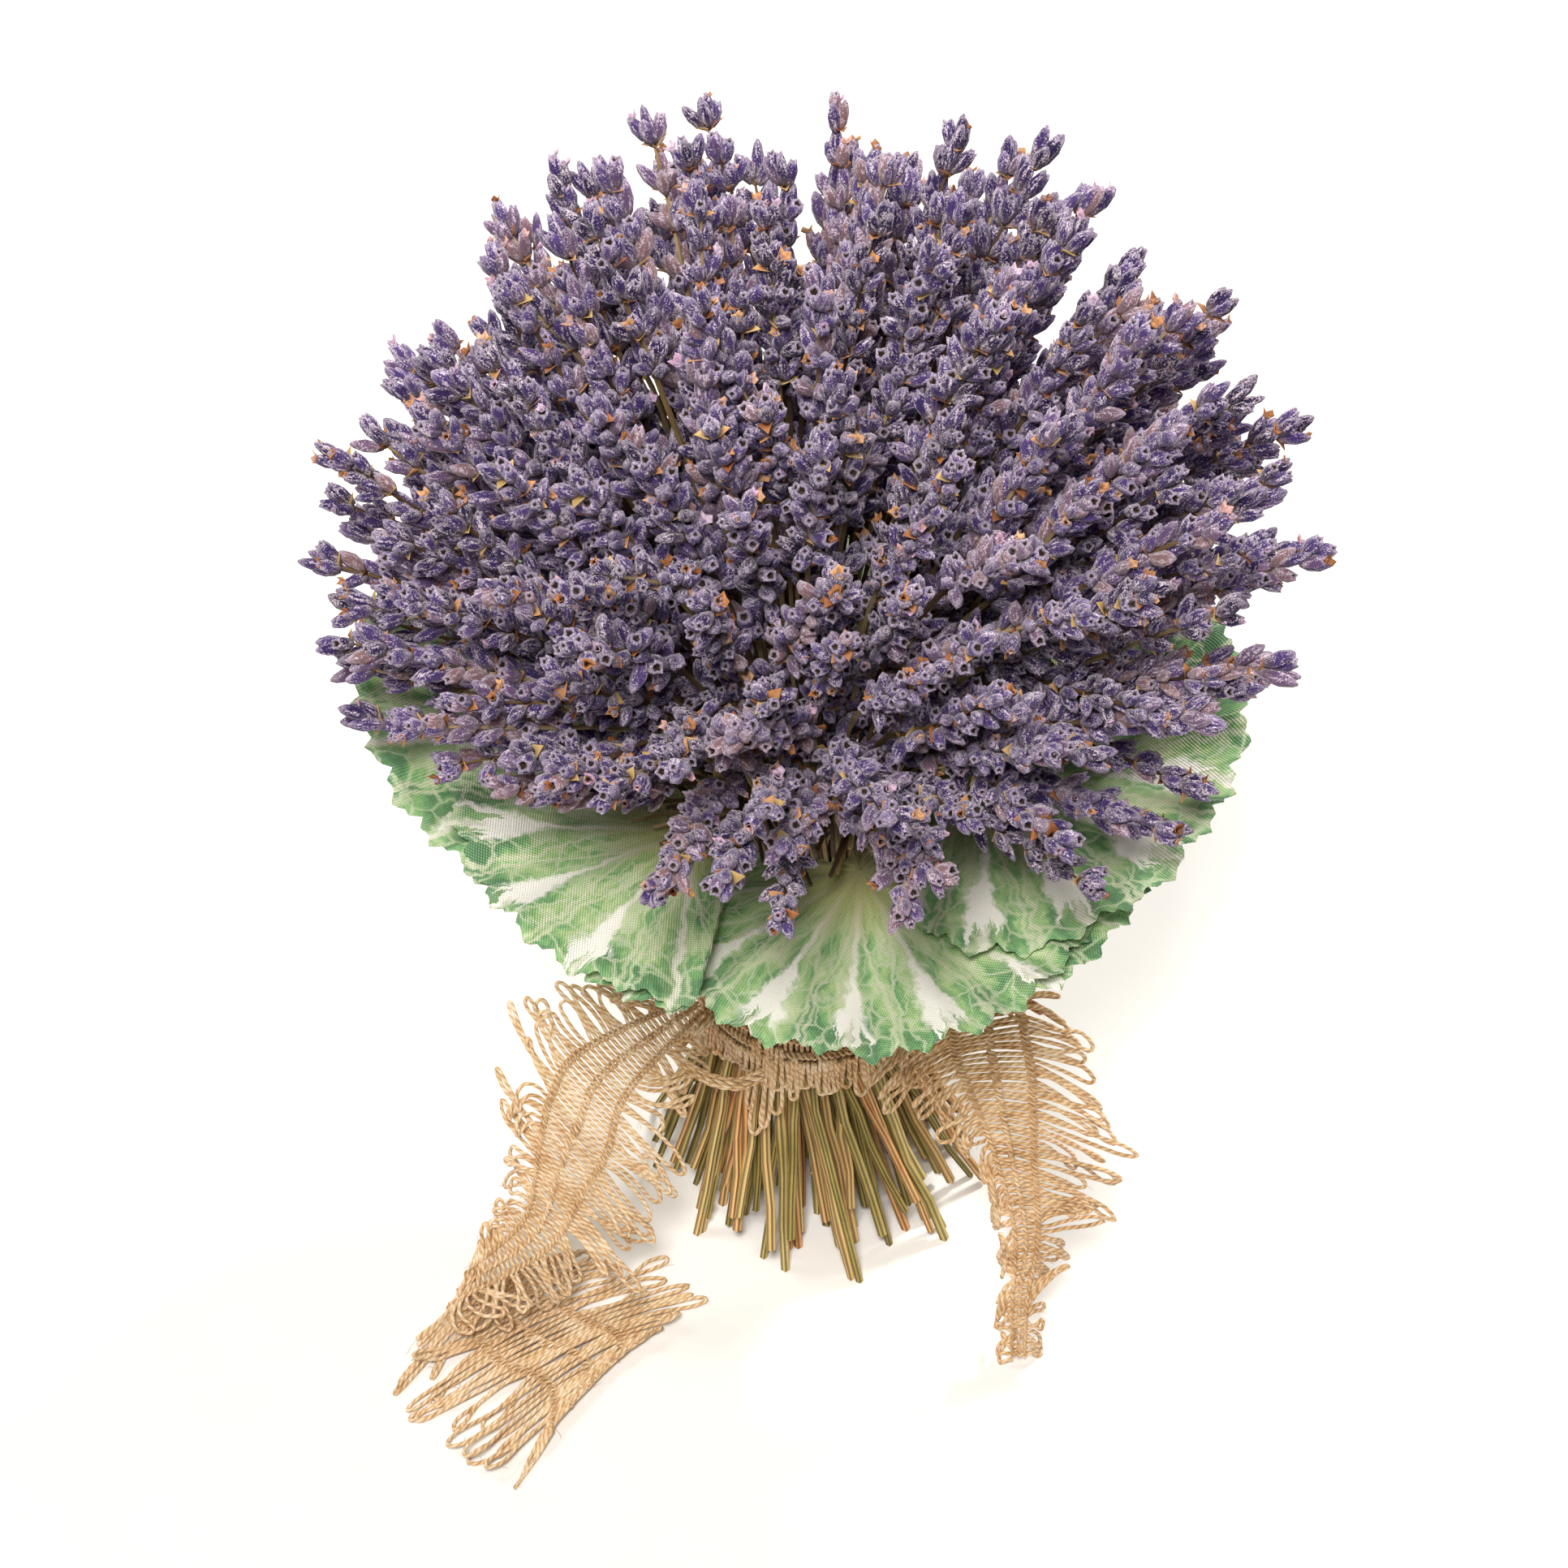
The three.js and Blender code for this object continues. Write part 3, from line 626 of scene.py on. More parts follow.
def add_calyx(heap, draw, root, direction, size, dryness):
    """One calyx, shut or open, and at times the shrivelled flower in its mouth."""
    length = size * draw.uniform(*CALYX_LENGTHS)
    width = size * draw.uniform(*CALYX_WIDTHS)
    roll = draw.uniform(0, math.pi)
    tone = min(1, max(0, dryness + draw.gauss(0, CALYX_TONE_SCATTER)))
    kind = draw.choices(CALYX_KINDS, CALYX_SHARES)[0]
    heap.add(kind, directed(direction, roll, width, length), root, tone)
    if draw.random() < FLOWERING_SHARE:
        mouth = root + direction * CALYX_MOUTH * length
        spread = draw.uniform(*PETAL_SIZES)
        heap.add(PETALS, directed(direction, roll, spread, spread), mouth, draw.random())


def add_whorl(heap, draw, centre, axis, count, tilt, phase, size, dryness):
    """Calyces round the stem in an outer and an inner tier, and the bracts below them."""
    across = directed(axis, phase)
    inner = count // 3
    for c in range(count):
        upright = c >= count - inner
        tier = inner if upright else count - inner
        scatter = draw.uniform(-CALYX_TURN_SCATTER, CALYX_TURN_SCATTER)
        turn = 2 * math.pi * (c + scatter) / tier
        outward = across[:, 0] * math.cos(turn) + across[:, 1] * math.sin(turn)
        lean = tilt * (INNER_TILT if upright else 1) + draw.gauss(0, CALYX_LEAN_SCATTER)
        direction = axis * math.cos(lean) + outward * math.sin(lean)
        rise = draw.uniform(-1.0, 1.0) + (INNER_RISE if upright else 0)
        root = centre + (outward * CALYX_OFF_STEM + axis * rise) * MM
        add_calyx(heap, draw, root, direction, size, dryness)
    for side in (1, -1):
        outward = across[:, 0] * side
        direction = outward * BRACT_OUT + axis * draw.uniform(*BRACT_UP)
        root = centre - axis * BRACT_BELOW * MM
        heap.add(BRACT, laid_out(direction, axis, draw.uniform(*BRACT_SIZES)), root,
                 draw.random())


def add_spike(heap, draw, spike):
    """The stem from the waist up, and the whorls on its last stretch."""
    foot = np.array(spike["foot"])
    length = spike["length"]
    waist = waist_point(spike["index"])
    out = np.linalg.norm(foot - np.array(FAN_CENTRE))
    shoulder = foot - np.array(spike["axis"]) * STALK_SHOULDER * out
    rise = np.array((0, 0, STALK_RISE))
    lower = bezier([waist, waist + rise, shoulder, foot], STALK_RINGS)
    lean = np.array([draw.gauss(0, SPIKE_LEAN) for _ in range(3)])
    axis = np.array(spike["axis"]) + lean
    axis /= np.linalg.norm(axis)
    sideways = (draw.gauss(0, 1), draw.gauss(0, 1), draw.gauss(0, 1))
    bend = np.cross(axis, sideways) * SPIKE_BEND

    def centre(distance):
        return foot + axis * distance + bend * (distance / length) ** 2

    upper = [centre(share * length) for share in (0.25, 0.5, 0.75, 0.93)]
    taper = STALK_RADIUS * np.linspace(0.9, 0.5, len(upper))
    radii = np.concatenate([np.full(STALK_RINGS, STALK_RADIUS), taper])
    stalk = tube(np.concatenate([lower, upper]), radii, 4, FLOWER_SLOTS["stalk"], smooth=False)
    heap.add(stalk, tone=draw.random())
    top = length - TOP_CALYX_ROOM
    spacing = WHORL_SPACING * draw.triangular(*SPACING_SHARES)
    whorls = max(LEAST_WHORLS, round(top / spacing) + 1)
    dryness = draw.uniform(*SPIKE_DRYNESS)
    size = draw.uniform(*SPIKE_SIZES)
    openness = draw.uniform(*SPIKE_OPENNESS)
    first = 1 if draw.random() < LATE_START_SHARE else 0
    for w in range(first, whorls):
        share = w / (whorls - 1)
        scatter = draw.uniform(-WHORL_SCATTER, WHORL_SCATTER) * MM
        distance = top * (share + WHORL_CROWDING * share * (1 - share)) + scatter
        count = round(WHORL_CALYCES - WHORL_CALYCES_LOST * share + draw.uniform(-1, 1))
        tilt = WHORL_TILT - WHORL_TILT_LOST * share ** WHORL_TILT_LATENESS
        phase = spike["phase"] + w * WHORL_TWIST
        add_whorl(heap, draw, centre(distance), axis, count, math.radians(tilt) * openness,
                  phase, size, dryness)
    for _ in range(draw.choices((0, 1, 2), LONE_WHORL_SHARES)[0]):
        lone = centre(-draw.uniform(*LONE_WHORL_DROP) * MM)
        count = draw.randint(*LONE_WHORL_CALYCES)
        add_whorl(heap, draw, lone, axis, count, LONE_WHORL_TILT, 0.0, size, dryness)


# Dry lavender stem: olive to straw and tan, dull and hard, with pale ribs along it and
# painted shade that darkens the furrows between them.
stem_straw, tree, shader = start_material(
    "dried_lavender_stem", Roughness=0.6, Specular_IOR_Level=0.35)
tone = add_node(tree, "ShaderNodeAttribute", attribute_name="tone").outputs["Fac"]
uv = add_node(tree, "ShaderNodeUVMap", uv_map="UVMap")
place = add_node(tree, "ShaderNodeTexCoord").outputs["Object"]
parts = add_node(tree, "ShaderNodeSeparateXYZ", {0: uv})
blotch = add_node(tree, "ShaderNodeTexNoise", {"Vector": place, "Scale": 90.0, "Detail": 4.0})
around = add_node(tree, "ShaderNodeMath", {0: parts.outputs["X"], 1: 8 * math.pi},
                  operation="MULTIPLY")
ribs = add_node(tree, "ShaderNodeMath", {0: around}, operation="SINE")
mixed = add_node(tree, "ShaderNodeMath", {0: blotch.outputs["Fac"], 1: 0.7, 2: tone},
                 operation="MULTIPLY_ADD")
mixed = add_node(tree, "ShaderNodeMapRange", {
    "Value": mixed, "From Min": 0.2, "From Max": 1.5})
ramp = add_node(tree, "ShaderNodeValToRGB", {"Fac": mixed}, stops=[
    (0.05, "7d7039"), (0.95, "cf8a50"), (0.28, "a39351"), (0.5, "c9b374"), (0.75, "dcae74")])
# Pale ribs, and painted shade in the furrows between them.
rib_tone_and_furrow_shade = add_node(tree, "ShaderNodeMapRange", {
    "Value": ribs, "From Min": -1.0, "From Max": 1.0, "To Min": 0.36, "To Max": 1.25})
ribbed = add_node(tree, "ShaderNodeMix", {"Factor": 1.0, "A": ramp, "B": rib_tone_and_furrow_shade},
                  data_type="RGBA", blend_type="MULTIPLY")
bump = add_node(tree, "ShaderNodeBump", {
    "Strength": 0.6, "Distance": 0.15 * MM, "Height": ribs})
tree.links.new(ribbed.outputs[2], shader.inputs["Base Color"])
tree.links.new(bump.outputs[0], shader.inputs["Normal"])

# Cut pith: the pale spongy middle that a cut end shows.
stem_pith, tree, shader = start_material("cut_stem_pith", Roughness=0.9)
place = add_node(tree, "ShaderNodeTexCoord").outputs["Object"]
grain = add_node(tree, "ShaderNodeTexNoise", {"Vector": place, "Scale": 2500.0})
ramp = add_node(tree, "ShaderNodeValToRGB", {"Fac": grain.outputs["Fac"]}, stops=[
    (0.35, "8c7448"), (0.65, "d8c493")])
tree.links.new(ramp.outputs[0], shader.inputs["Base Color"])

# Flower stalk: the thin top of the stem, brown to tan from one stalk to the next, and
# blotched, and painted darker than the cut stems as shade for the stalks inside the head.
shaded_stalk_straw, tree, shader = start_material(
    "dried_flower_stalk_painted_shade", Roughness=0.65, Specular_IOR_Level=0.3)
tone = add_node(tree, "ShaderNodeAttribute", attribute_name="tone").outputs["Fac"]
place = add_node(tree, "ShaderNodeTexCoord").outputs["Object"]
blotch = add_node(tree, "ShaderNodeTexNoise", {"Vector": place, "Scale": 120.0, "Detail": 3.0})
mixed = add_node(tree, "ShaderNodeMath", {0: blotch.outputs["Fac"], 1: 0.5, 2: tone},
                 operation="MULTIPLY_ADD")
# This ramp runs darker than the cut stems' own: painted shade for stalks deep in the head.
ramp = add_node(tree, "ShaderNodeValToRGB", {"Fac": mixed}, stops=[
    (0.3, "3d2c1e"), (1.0, "b39b74"), (0.6, "5c4530"), (0.85, "857048")])
tree.links.new(ramp.outputs[0], shader.inputs["Base Color"])

FLOWER_MATERIALS = [calyx_wool, bract_paper, petal_tissue, stem_straw, stem_pith, shaded_stalk_straw]
for k, spikes in enumerate(SPRAYS):
    draw = random.Random(SEED * 100 + k)
    heap = Heap()
    for spike in spikes:
        add_spike(heap, draw, spike)
    spray = heap.make(f"lavender_spray_{k + 1:02d}", FLOWER_MATERIALS)
    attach(spray, "root")
    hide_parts(f"flower_spray_{k + 1:02d}")

# ---- Bent flower stalks ----
# Bare stalks at the front that have lost their flowers. They come up among the others, bend
# over above the waist and lie out across the leaves, under the lowest spikes.

BENT_STALKS = 34
BENT_STALKS_FROM = math.radians(-145)
BENT_STALKS_TO = math.radians(-35)
BENT_STALK_LENGTH = (30, 46)  # millimetres out from the middle of the bunch
BENT_STALK_ASIDE = (14, 34)  # millimetres to either side
BENT_STALK_RISE = 10  # millimetres over the leaves' middle layer
BENT_STALK_RISES = (0.8, 1.3)
BENT_STALK_FOOT = (15, 132)  # millimetres from the middle and up, and those of its knee
BENT_STALK_KNEE = (21, 166)
BENT_STALK_KNEE_SCATTER = (-5, 6)
BENT_STALK_RINGS = 12

draw = random.Random(SEED + 2)
heap = Heap()
for k in range(BENT_STALKS):
    turn = BENT_STALKS_FROM + (BENT_STALKS_TO - BENT_STALKS_FROM) * (k + 0.5) / BENT_STALKS
    outward = np.array((math.cos(turn), math.sin(turn), 0))
    sideways = draw.choice((-1, 1)) * draw.uniform(*BENT_STALK_ASIDE) * MM
    aside = np.array((-math.sin(turn), math.cos(turn), 0)) * sideways
    end = outward * draw.uniform(*BENT_STALK_LENGTH) * MM + aside
    rise = BENT_STALK_RISE * draw.uniform(*BENT_STALK_RISES) * MM
    end[2] = collar_height(end[0], end[1]) + rise
    start = outward * BENT_STALK_FOOT[0] * MM + np.array((0, 0, BENT_STALK_FOOT[1] * MM))
    knee_height = BENT_STALK_KNEE[1] + draw.uniform(*BENT_STALK_KNEE_SCATTER)
    knee = outward * BENT_STALK_KNEE[0] * MM + np.array((0, 0, knee_height * MM))
    radii = STALK_RADIUS * np.linspace(1.0, 0.75, BENT_STALK_RINGS)
    stalk = tube(bezier([start, knee, end], BENT_STALK_RINGS), radii, 4, 0, smooth=False)
    heap.add(stalk, tone=draw.random())
bent_stalks = heap.make("bent_flower_stalks", [shaded_stalk_straw])
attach(bent_stalks, "root")

# ---- Cut stems ----
# The same stems from the waist down. They are square and ribbed, splay as they go down,
# twisted round the bunch, and were cut across with scissors at slightly different lengths.

FOOT_RADIUS = 46 * MM
FEET_MIDDLE = np.array((3, -2, 0)) * MM
STEM_TWIST = math.radians(26)
STEM_CROSSING = 0.22  # radians either way round the bunch, as a standard deviation
FOOT_SCATTER = 3.5 * MM
CUT_SCATTER = 15 * MM
CUT_STEM_RADIUS = 1.12 * MM
NODE_SHARE = 0.35  # of the stems, with a swollen joint and the stub of a leaf
NODE_SWELLING = 1.35
CUT_LATENESS = 1.5  # above 1, most of the cut ends are near the surface
KNEE_SHARE = 0.35  # of the way from the waist down
KNEE_DRAWN_IN = 0.12
STEM_RINGS = 9
STEM_WAVER = 0.35  # millimetres
STEM_SIZES = (0.8, 1.2)
STUB_LENGTHS = (1.2, 3.0)  # millimetres
STUB_RADII = (0.6 * MM, 0.45 * MM)
STRAY_WHORLS = [  # of flowers that sat low on their stems: spike number and height
    (196, 47), (207, 22), (212, 30), (220, 15), (183, 40),
]


def add_cut_stem(heap, draw, index):
    """Adds a stem from the waist down and gives its path. Every third reaches the floor."""
    waist = waist_point(index)
    share = math.sqrt((index + 0.5) / SPIKE_COUNT)
    turn = index * GOLDEN_ANGLE + WAIST_TURN + STEM_TWIST + draw.gauss(0, STEM_CROSSING)
    reach = FOOT_RADIUS * share + draw.uniform(-1, 1) * FOOT_SCATTER
    end = draw.uniform(0, 1) ** CUT_LATENESS * CUT_SCATTER if index % 3 else 0.0
    foot = np.array((reach * math.cos(turn), reach * math.sin(turn), 0)) + FEET_MIDDLE
    foot = foot + (waist - foot) * (end / WAIST_HEIGHT)
    drawn_in = np.array((-foot[0], -foot[1], 0)) * KNEE_DRAWN_IN
    knee = waist + (foot - waist) * KNEE_SHARE + drawn_in
    top = waist + np.array((0, 0, 2 * MM))
    path = bezier([top, knee, foot], STEM_RINGS)
    path[1:-1] += np.array([
        [draw.gauss(0, STEM_WAVER) * MM for _ in range(3)] for _ in path[1:-1]])
    path[-1][2] = max(path[-1][2], 0)
    radii = np.full(STEM_RINGS, CUT_STEM_RADIUS * draw.uniform(*STEM_SIZES))
    if draw.random() < NODE_SHARE:
        joint = draw.randint(3, 7)
        radii[joint] *= NODE_SWELLING
        outward = np.array((draw.gauss(0, 1), draw.gauss(0, 1), draw.uniform(0.6, 1.6)))
        outward *= draw.uniform(*STUB_LENGTHS) * MM / np.linalg.norm(outward)
        stub = tube([path[joint], path[joint] + outward], STUB_RADII, 4,
                    FLOWER_SLOTS["bract"], FLOWER_SLOTS["pith"], smooth=False)
        heap.add(stub, tone=draw.random())
    stem = tube(path, radii, 4, FLOWER_SLOTS["stem"], FLOWER_SLOTS["pith"], smooth=False)
    stem.points[:, 2] = np.maximum(stem.points[:, 2], 0)
    heap.add(stem, tone=draw.random())
    return path


draw = random.Random(SEED + 1)
heap = Heap()
stem_paths = [add_cut_stem(heap, draw, index) for index in range(SPIKE_COUNT)]
for index, height in STRAY_WHORLS:
    path = stem_paths[index]
    nearest = min(range(1, 8), key=lambda i: abs(path[i][2] - height * MM))
    upward = path[nearest - 1] - path[nearest]
    upward /= np.linalg.norm(upward)
    add_whorl(heap, draw, path[nearest], upward, count=4, tilt=math.radians(28), phase=0.0,
              size=0.95, dryness=0.5)
cut_stems = heap.make("stem_ends", FLOWER_MATERIALS)
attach(cut_stems, "root")
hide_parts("cut_stems")

# ---- Leaves ----
# Eight round leaves cut from stiff woven polyester and printed green and cream with a net of
# pale veins. Each is pleated from its base, its rim is cut in toothed lobes, and a wired
# petiole under its inner edge runs down into the tie. Lengths here are in millimetres.

LEAF_HOLE_RADIUS = 29
LEAF_LAYER_STEP = 4.3
LEAF_MIDDLE_LAYER = 1.7
LEAF_ROUND_TO = math.radians(88)
LEAF_NARROW_FROM = math.radians(140)
LEAF_NARROWING = 0.75
LEAF_PLEATS = 12
LEAF_LOBES = 30
TEETH_IN_LOBE = 3
LEAF_CLOTH = 0.35
PLEAT_HEIGHT = 1.3
RIM_PLEAT_HEIGHT = 0.9  # of the lobes' own ripple, at the rim
LOBE_DEPTH = 0.034
TOOTH_DEPTH = 0.022
LEAF_COLUMNS = 360
LEAF_ROWS = 18
LEAF_RIPPLE = 0.5
LEAF_RIPPLES = 5
RIM_CUT_POWER = 6  # keeps the lobes and teeth to the rim
LEAVES = [  # name, turn in degrees, reach, radius and layer, with sizes in millimetres
    ("leaf_front", -70, 35, 62, 1),
    ("leaf_front_right", -40, 38, 57, 0),
    ("leaf_front_left", -137, 38, 61, 3),
    ("leaf_left", 174, 48, 66, 2),
    ("leaf_right", -6, 44, 64, 2),
    ("leaf_back_right", 42, 42, 62, 3),
    ("leaf_back", 90, 42, 62, 1),
    ("leaf_back_left", 134, 42, 62, 0),
]
TUCKED_LEAF = "leaf_front_left"  # whose right edge is folded under, past x = edge + slant * y
TUCK_EDGE = -10.9
TUCK_SLANT = 0.19
TUCK_GAP = 4.0
TUCK_TURN = 1.95  # how far cloth past the fold is brought back, just short of flat on itself
TUCK_FLATTENING = 0.75
PETIOLE_RADIUS = 1.0
PETIOLE_FOOT = (26.3, 92.3)
PETIOLE_KINK = 30.6
PETIOLE_TOP = 35.2
PETIOLE_KINK_DROP = 3
PETIOLE_UNDER_BLADE = 0.4
PETIOLE_RINGS = 10


def leaf_reach(reach, radius, angle):
    """How far a blade reaches from its centre, at an angle from straight outwards."""
    fold = (abs(angle) - LEAF_ROUND_TO) / (LEAF_NARROW_FROM - LEAF_ROUND_TO)
    fold = min(1, max(0, fold))
    plain = radius * (1 - LEAF_NARROWING * fold * fold * (3 - 2 * fold))
    inward = -reach * math.cos(angle)
    missed = reach * abs(math.sin(angle))
    if inward <= 0 or missed >= LEAF_HOLE_RADIUS:
        return plain
    return min(plain, inward - math.sqrt(LEAF_HOLE_RADIUS ** 2 - missed ** 2))


def leaf_height(layer, x, y):
    """The height of a layer of leaves over a place, all in millimetres."""
    height = collar_height(x * MM, y * MM) / MM
    return height + (layer - LEAF_MIDDLE_LAYER) * LEAF_LAYER_STEP


def make_blade(turn, reach, radius, layer, draw, tucked):
    """The blade's points, faces and UVs. The UV is the flat cloth in centimetres."""
    phase = draw.uniform(0, 2 * math.pi)
    depths = [draw.uniform(0.5, 1.5) for _ in range(LEAF_LOBES * TEETH_IN_LOBE)]
    points = []
    flat = []
    for row in range(LEAF_ROWS + 1):
        share = row / LEAF_ROWS
        for column in range(LEAF_COLUMNS):
            angle = (column / LEAF_COLUMNS * 2 - 1) * math.pi
            lobes = LEAF_LOBES * column / LEAF_COLUMNS
            teeth = lobes * TEETH_IN_LOBE
            lobe = abs(math.cos(math.pi * lobes))
            tooth = abs(teeth % 1 - 0.5) * 2 * depths[int(teeth)]
            cut = (LOBE_DEPTH * lobe ** 2 + TOOTH_DEPTH * tooth) * share ** RIM_CUT_POWER
            out = share * leaf_reach(reach, radius, angle) * (1 - cut)
            x = reach * math.cos(turn) + out * math.cos(turn + angle)
            y = reach * math.sin(turn) + out * math.sin(turn + angle)
            pleat = PLEAT_HEIGHT * math.cos(LEAF_PLEATS * angle) * share
            pleat += RIM_PLEAT_HEIGHT * math.cos(2 * math.pi * lobes) * share ** 3
            ripple = LEAF_RIPPLE * math.sin(LEAF_RIPPLES * angle + phase) * share ** 2
            past = x - TUCK_EDGE - TUCK_SLANT * y if tucked else 0
            turned = min(1, max(0, past / TUCK_GAP))
            x -= TUCK_TURN * max(0, past)
            rise = (pleat + ripple) * (1 - TUCK_FLATTENING * turned) - TUCK_GAP * turned
            points.append((x * MM, y * MM, (leaf_height(layer, x, y) + rise) * MM))
            flat.append((out * math.cos(angle) / 10, out * math.sin(angle) / 10))
    faces = []
    uvs = []
    for row in range(LEAF_ROWS):
        for column in range(LEAF_COLUMNS):
            a = row * LEAF_COLUMNS + column
            b = row * LEAF_COLUMNS + (column + 1) % LEAF_COLUMNS
            face = (a, a + LEAF_COLUMNS, b + LEAF_COLUMNS, b)
            faces.append(face)
            uvs += [flat[i] for i in face]
    return Shape(points, faces, uvs, [0] * len(faces))


def make_leaf(name, degrees, reach, radius, layer):
    """A leaf of cloth, its points at the blade's centre and seam merged before it thickens."""
    turn = math.radians(degrees)
    heap = Heap()
    draw = random.Random(degrees)
    blade = make_blade(turn, reach, radius, layer, draw, name == TUCKED_LEAF)
    heap.add(blade, tone=draw.random())
    made = heap.make(name.replace("leaf", "fabric_leaf"), [leaf_print])
    bpy.context.view_layer.objects.active = made
    made.select_set(True)
    bpy.ops.object.mode_set(mode="EDIT")
    bpy.ops.mesh.select_all(action="SELECT")
    bpy.ops.mesh.remove_doubles(threshold=0.01 * MM)
    bpy.ops.object.mode_set(mode="OBJECT")
    thicken(made, LEAF_CLOTH * MM)
    made.select_set(False)
    return made


# Printed polyester leaf cloth: a plain weave with a slight gloss. The print has greens from
# mid to pale, straight pale veins that run out from the base and fork, a fine net between
# them, cream flames along some veins towards the rim, and a yellow-green base. Lengths are
# in centimetres of cloth, and the weave has a pitch of 0.85 mm.
LEAF_VEINS = 15
VEIN_STEP = 2 * math.pi / LEAF_VEINS
WEAVE_PITCH = 0.085
leaf_print, tree, shader = start_material(
    "printed_woven_polyester", Roughness=0.4, Specular_IOR_Level=0.45, Sheen_Weight=0.1)
tone = add_node(tree, "ShaderNodeAttribute", attribute_name="tone").outputs["Fac"]
own = add_node(tree, "ShaderNodeMath", {0: tone, 1: 40.0}, operation="MULTIPLY")
uv = add_node(tree, "ShaderNodeUVMap", uv_map="UVMap")
parts = add_node(tree, "ShaderNodeSeparateXYZ", {0: uv})
radius = add_node(tree, "ShaderNodeVectorMath", {0: uv}, operation="LENGTH").outputs["Value"]
angle = add_node(tree, "ShaderNodeMath", {0: parts.outputs["Y"], 1: parts.outputs["X"]},
                 operation="ARCTAN2")
torn = add_node(tree, "ShaderNodeTexNoise", {"Vector": uv, "Scale": 1.6, "Detail": 4.0,
                                             "Roughness": 0.6})
wander = add_node(tree, "ShaderNodeMath", {0: torn.outputs["Fac"], 1: 0.5},
                  operation="SUBTRACT")
bent_angle = add_node(tree, "ShaderNodeMath", {0: wander, 1: 0.12, 2: angle},
                      operation="MULTIPLY_ADD")
vein_turn = add_node(tree, "ShaderNodeMath", {0: bent_angle, 1: 1 / VEIN_STEP, 2: own},
                     operation="MULTIPLY_ADD")
vein_number = add_node(tree, "ShaderNodeMath", {0: vein_turn}, operation="ROUND")
aside = add_node(tree, "ShaderNodeMath", {0: vein_turn, 1: vein_number},
                 operation="SUBTRACT")
aside = add_node(tree, "ShaderNodeMath", {0: aside}, operation="ABSOLUTE")
aside = add_node(tree, "ShaderNodeMath", {0: aside, 1: VEIN_STEP}, operation="MULTIPLY")
aside = add_node(tree, "ShaderNodeMath", {0: aside, 1: radius}, operation="MULTIPLY")
vein_width = add_node(tree, "ShaderNodeMapRange", {
    "Value": radius, "From Min": 1.0, "From Max": 6.0, "To Min": 0.05, "To Max": 0.085})
from_vein = add_node(tree, "ShaderNodeMath", {0: aside, 1: vein_width}, operation="DIVIDE")
main_vein = add_node(tree, "ShaderNodeMapRange", {
    "Value": from_vein, "From Min": 0.6, "From Max": 1.6, "To Min": 0.95, "To Max": 0.0})
halo = add_node(tree, "ShaderNodeMapRange", {
    "Value": from_vein, "From Min": 1.0, "From Max": 5.0, "To Min": 0.5, "To Max": 0.0})
fork_turn = add_node(tree, "ShaderNodeMath", {0: vein_turn, 1: math.pi}, operation="MULTIPLY")
fork_turn = add_node(tree, "ShaderNodeMath", {0: fork_turn}, operation="COSINE")
fork_turn = add_node(tree, "ShaderNodeMath", {0: fork_turn}, operation="ABSOLUTE")
fork_start = add_node(tree, "ShaderNodeMapRange", {
    "Value": radius, "From Min": 2.2, "From Max": 4.2, "To Min": 0.9, "To Max": 0.14})
fork_vein = add_node(tree, "ShaderNodeMath", {0: fork_turn, 1: fork_start},
                     operation="SUBTRACT")
fork_vein = add_node(tree, "ShaderNodeMath", {0: fork_vein}, operation="ABSOLUTE")
fork_vein = add_node(tree, "ShaderNodeMapRange", {
    "Value": fork_vein, "From Min": 0.03, "From Max": 0.12, "To Min": 0.7, "To Max": 0.0})
stretched_angle = add_node(tree, "ShaderNodeMath", {0: bent_angle, 1: 8.5},
                           operation="MULTIPLY")
stretched_radius = add_node(tree, "ShaderNodeMath", {0: radius, 1: 1.3}, operation="MULTIPLY")
stretched_radius = add_node(tree, "ShaderNodeMath", {0: wander, 1: 0.8, 2: stretched_radius},
                            operation="MULTIPLY_ADD")
polar = add_node(tree, "ShaderNodeCombineXYZ", {
    "X": stretched_radius, "Y": stretched_angle, "Z": own})
net = add_node(tree, "ShaderNodeTexVoronoi", {"Vector": polar, "Scale": 1.0},
               feature="DISTANCE_TO_EDGE")
net_vein = add_node(tree, "ShaderNodeMapRange", {
    "Value": net.outputs["Distance"], "From Min": 0.015, "From Max": 0.075, "To Min": 0.8,
    "To Max": 0.0})
vein_value = add_node(tree, "ShaderNodeTexWhiteNoise", {"W": vein_number},
                      noise_dimensions="1D")
ragged = add_node(tree, "ShaderNodeTexNoise", {"Vector": polar, "Scale": 0.9, "Detail": 5.0,
                                               "Roughness": 0.75})
ragged = add_node(tree, "ShaderNodeMath", {0: ragged.outputs["Fac"], 1: 0.5},
                  operation="SUBTRACT")
flame_width = add_node(tree, "ShaderNodeMapRange", {
    "Value": radius, "From Min": 2.8, "From Max": 5.2, "To Min": -0.15, "To Max": 0.45})
flame_here = add_node(tree, "ShaderNodeMapRange", {
    "Value": vein_value.outputs["Value"], "From Min": 0.2, "From Max": 0.55, "To Min": -0.5,
    "To Max": 0.12})
flame_width = add_node(tree, "ShaderNodeMath", {0: flame_width, 1: flame_here})
flame_width = add_node(tree, "ShaderNodeMath", {0: flame_width, 1: aside},
                       operation="SUBTRACT")
flame_side = add_node(tree, "ShaderNodeMath", {0: ragged, 1: 0.9, 2: flame_width},
                      operation="MULTIPLY_ADD")
jag_place = add_node(tree, "ShaderNodeCombineXYZ", {"X": stretched_angle, "Y": own})
jags = add_node(tree, "ShaderNodeTexNoise", {"Vector": jag_place, "Scale": 1.6, "Detail": 3.0,
                                             "Roughness": 0.8})
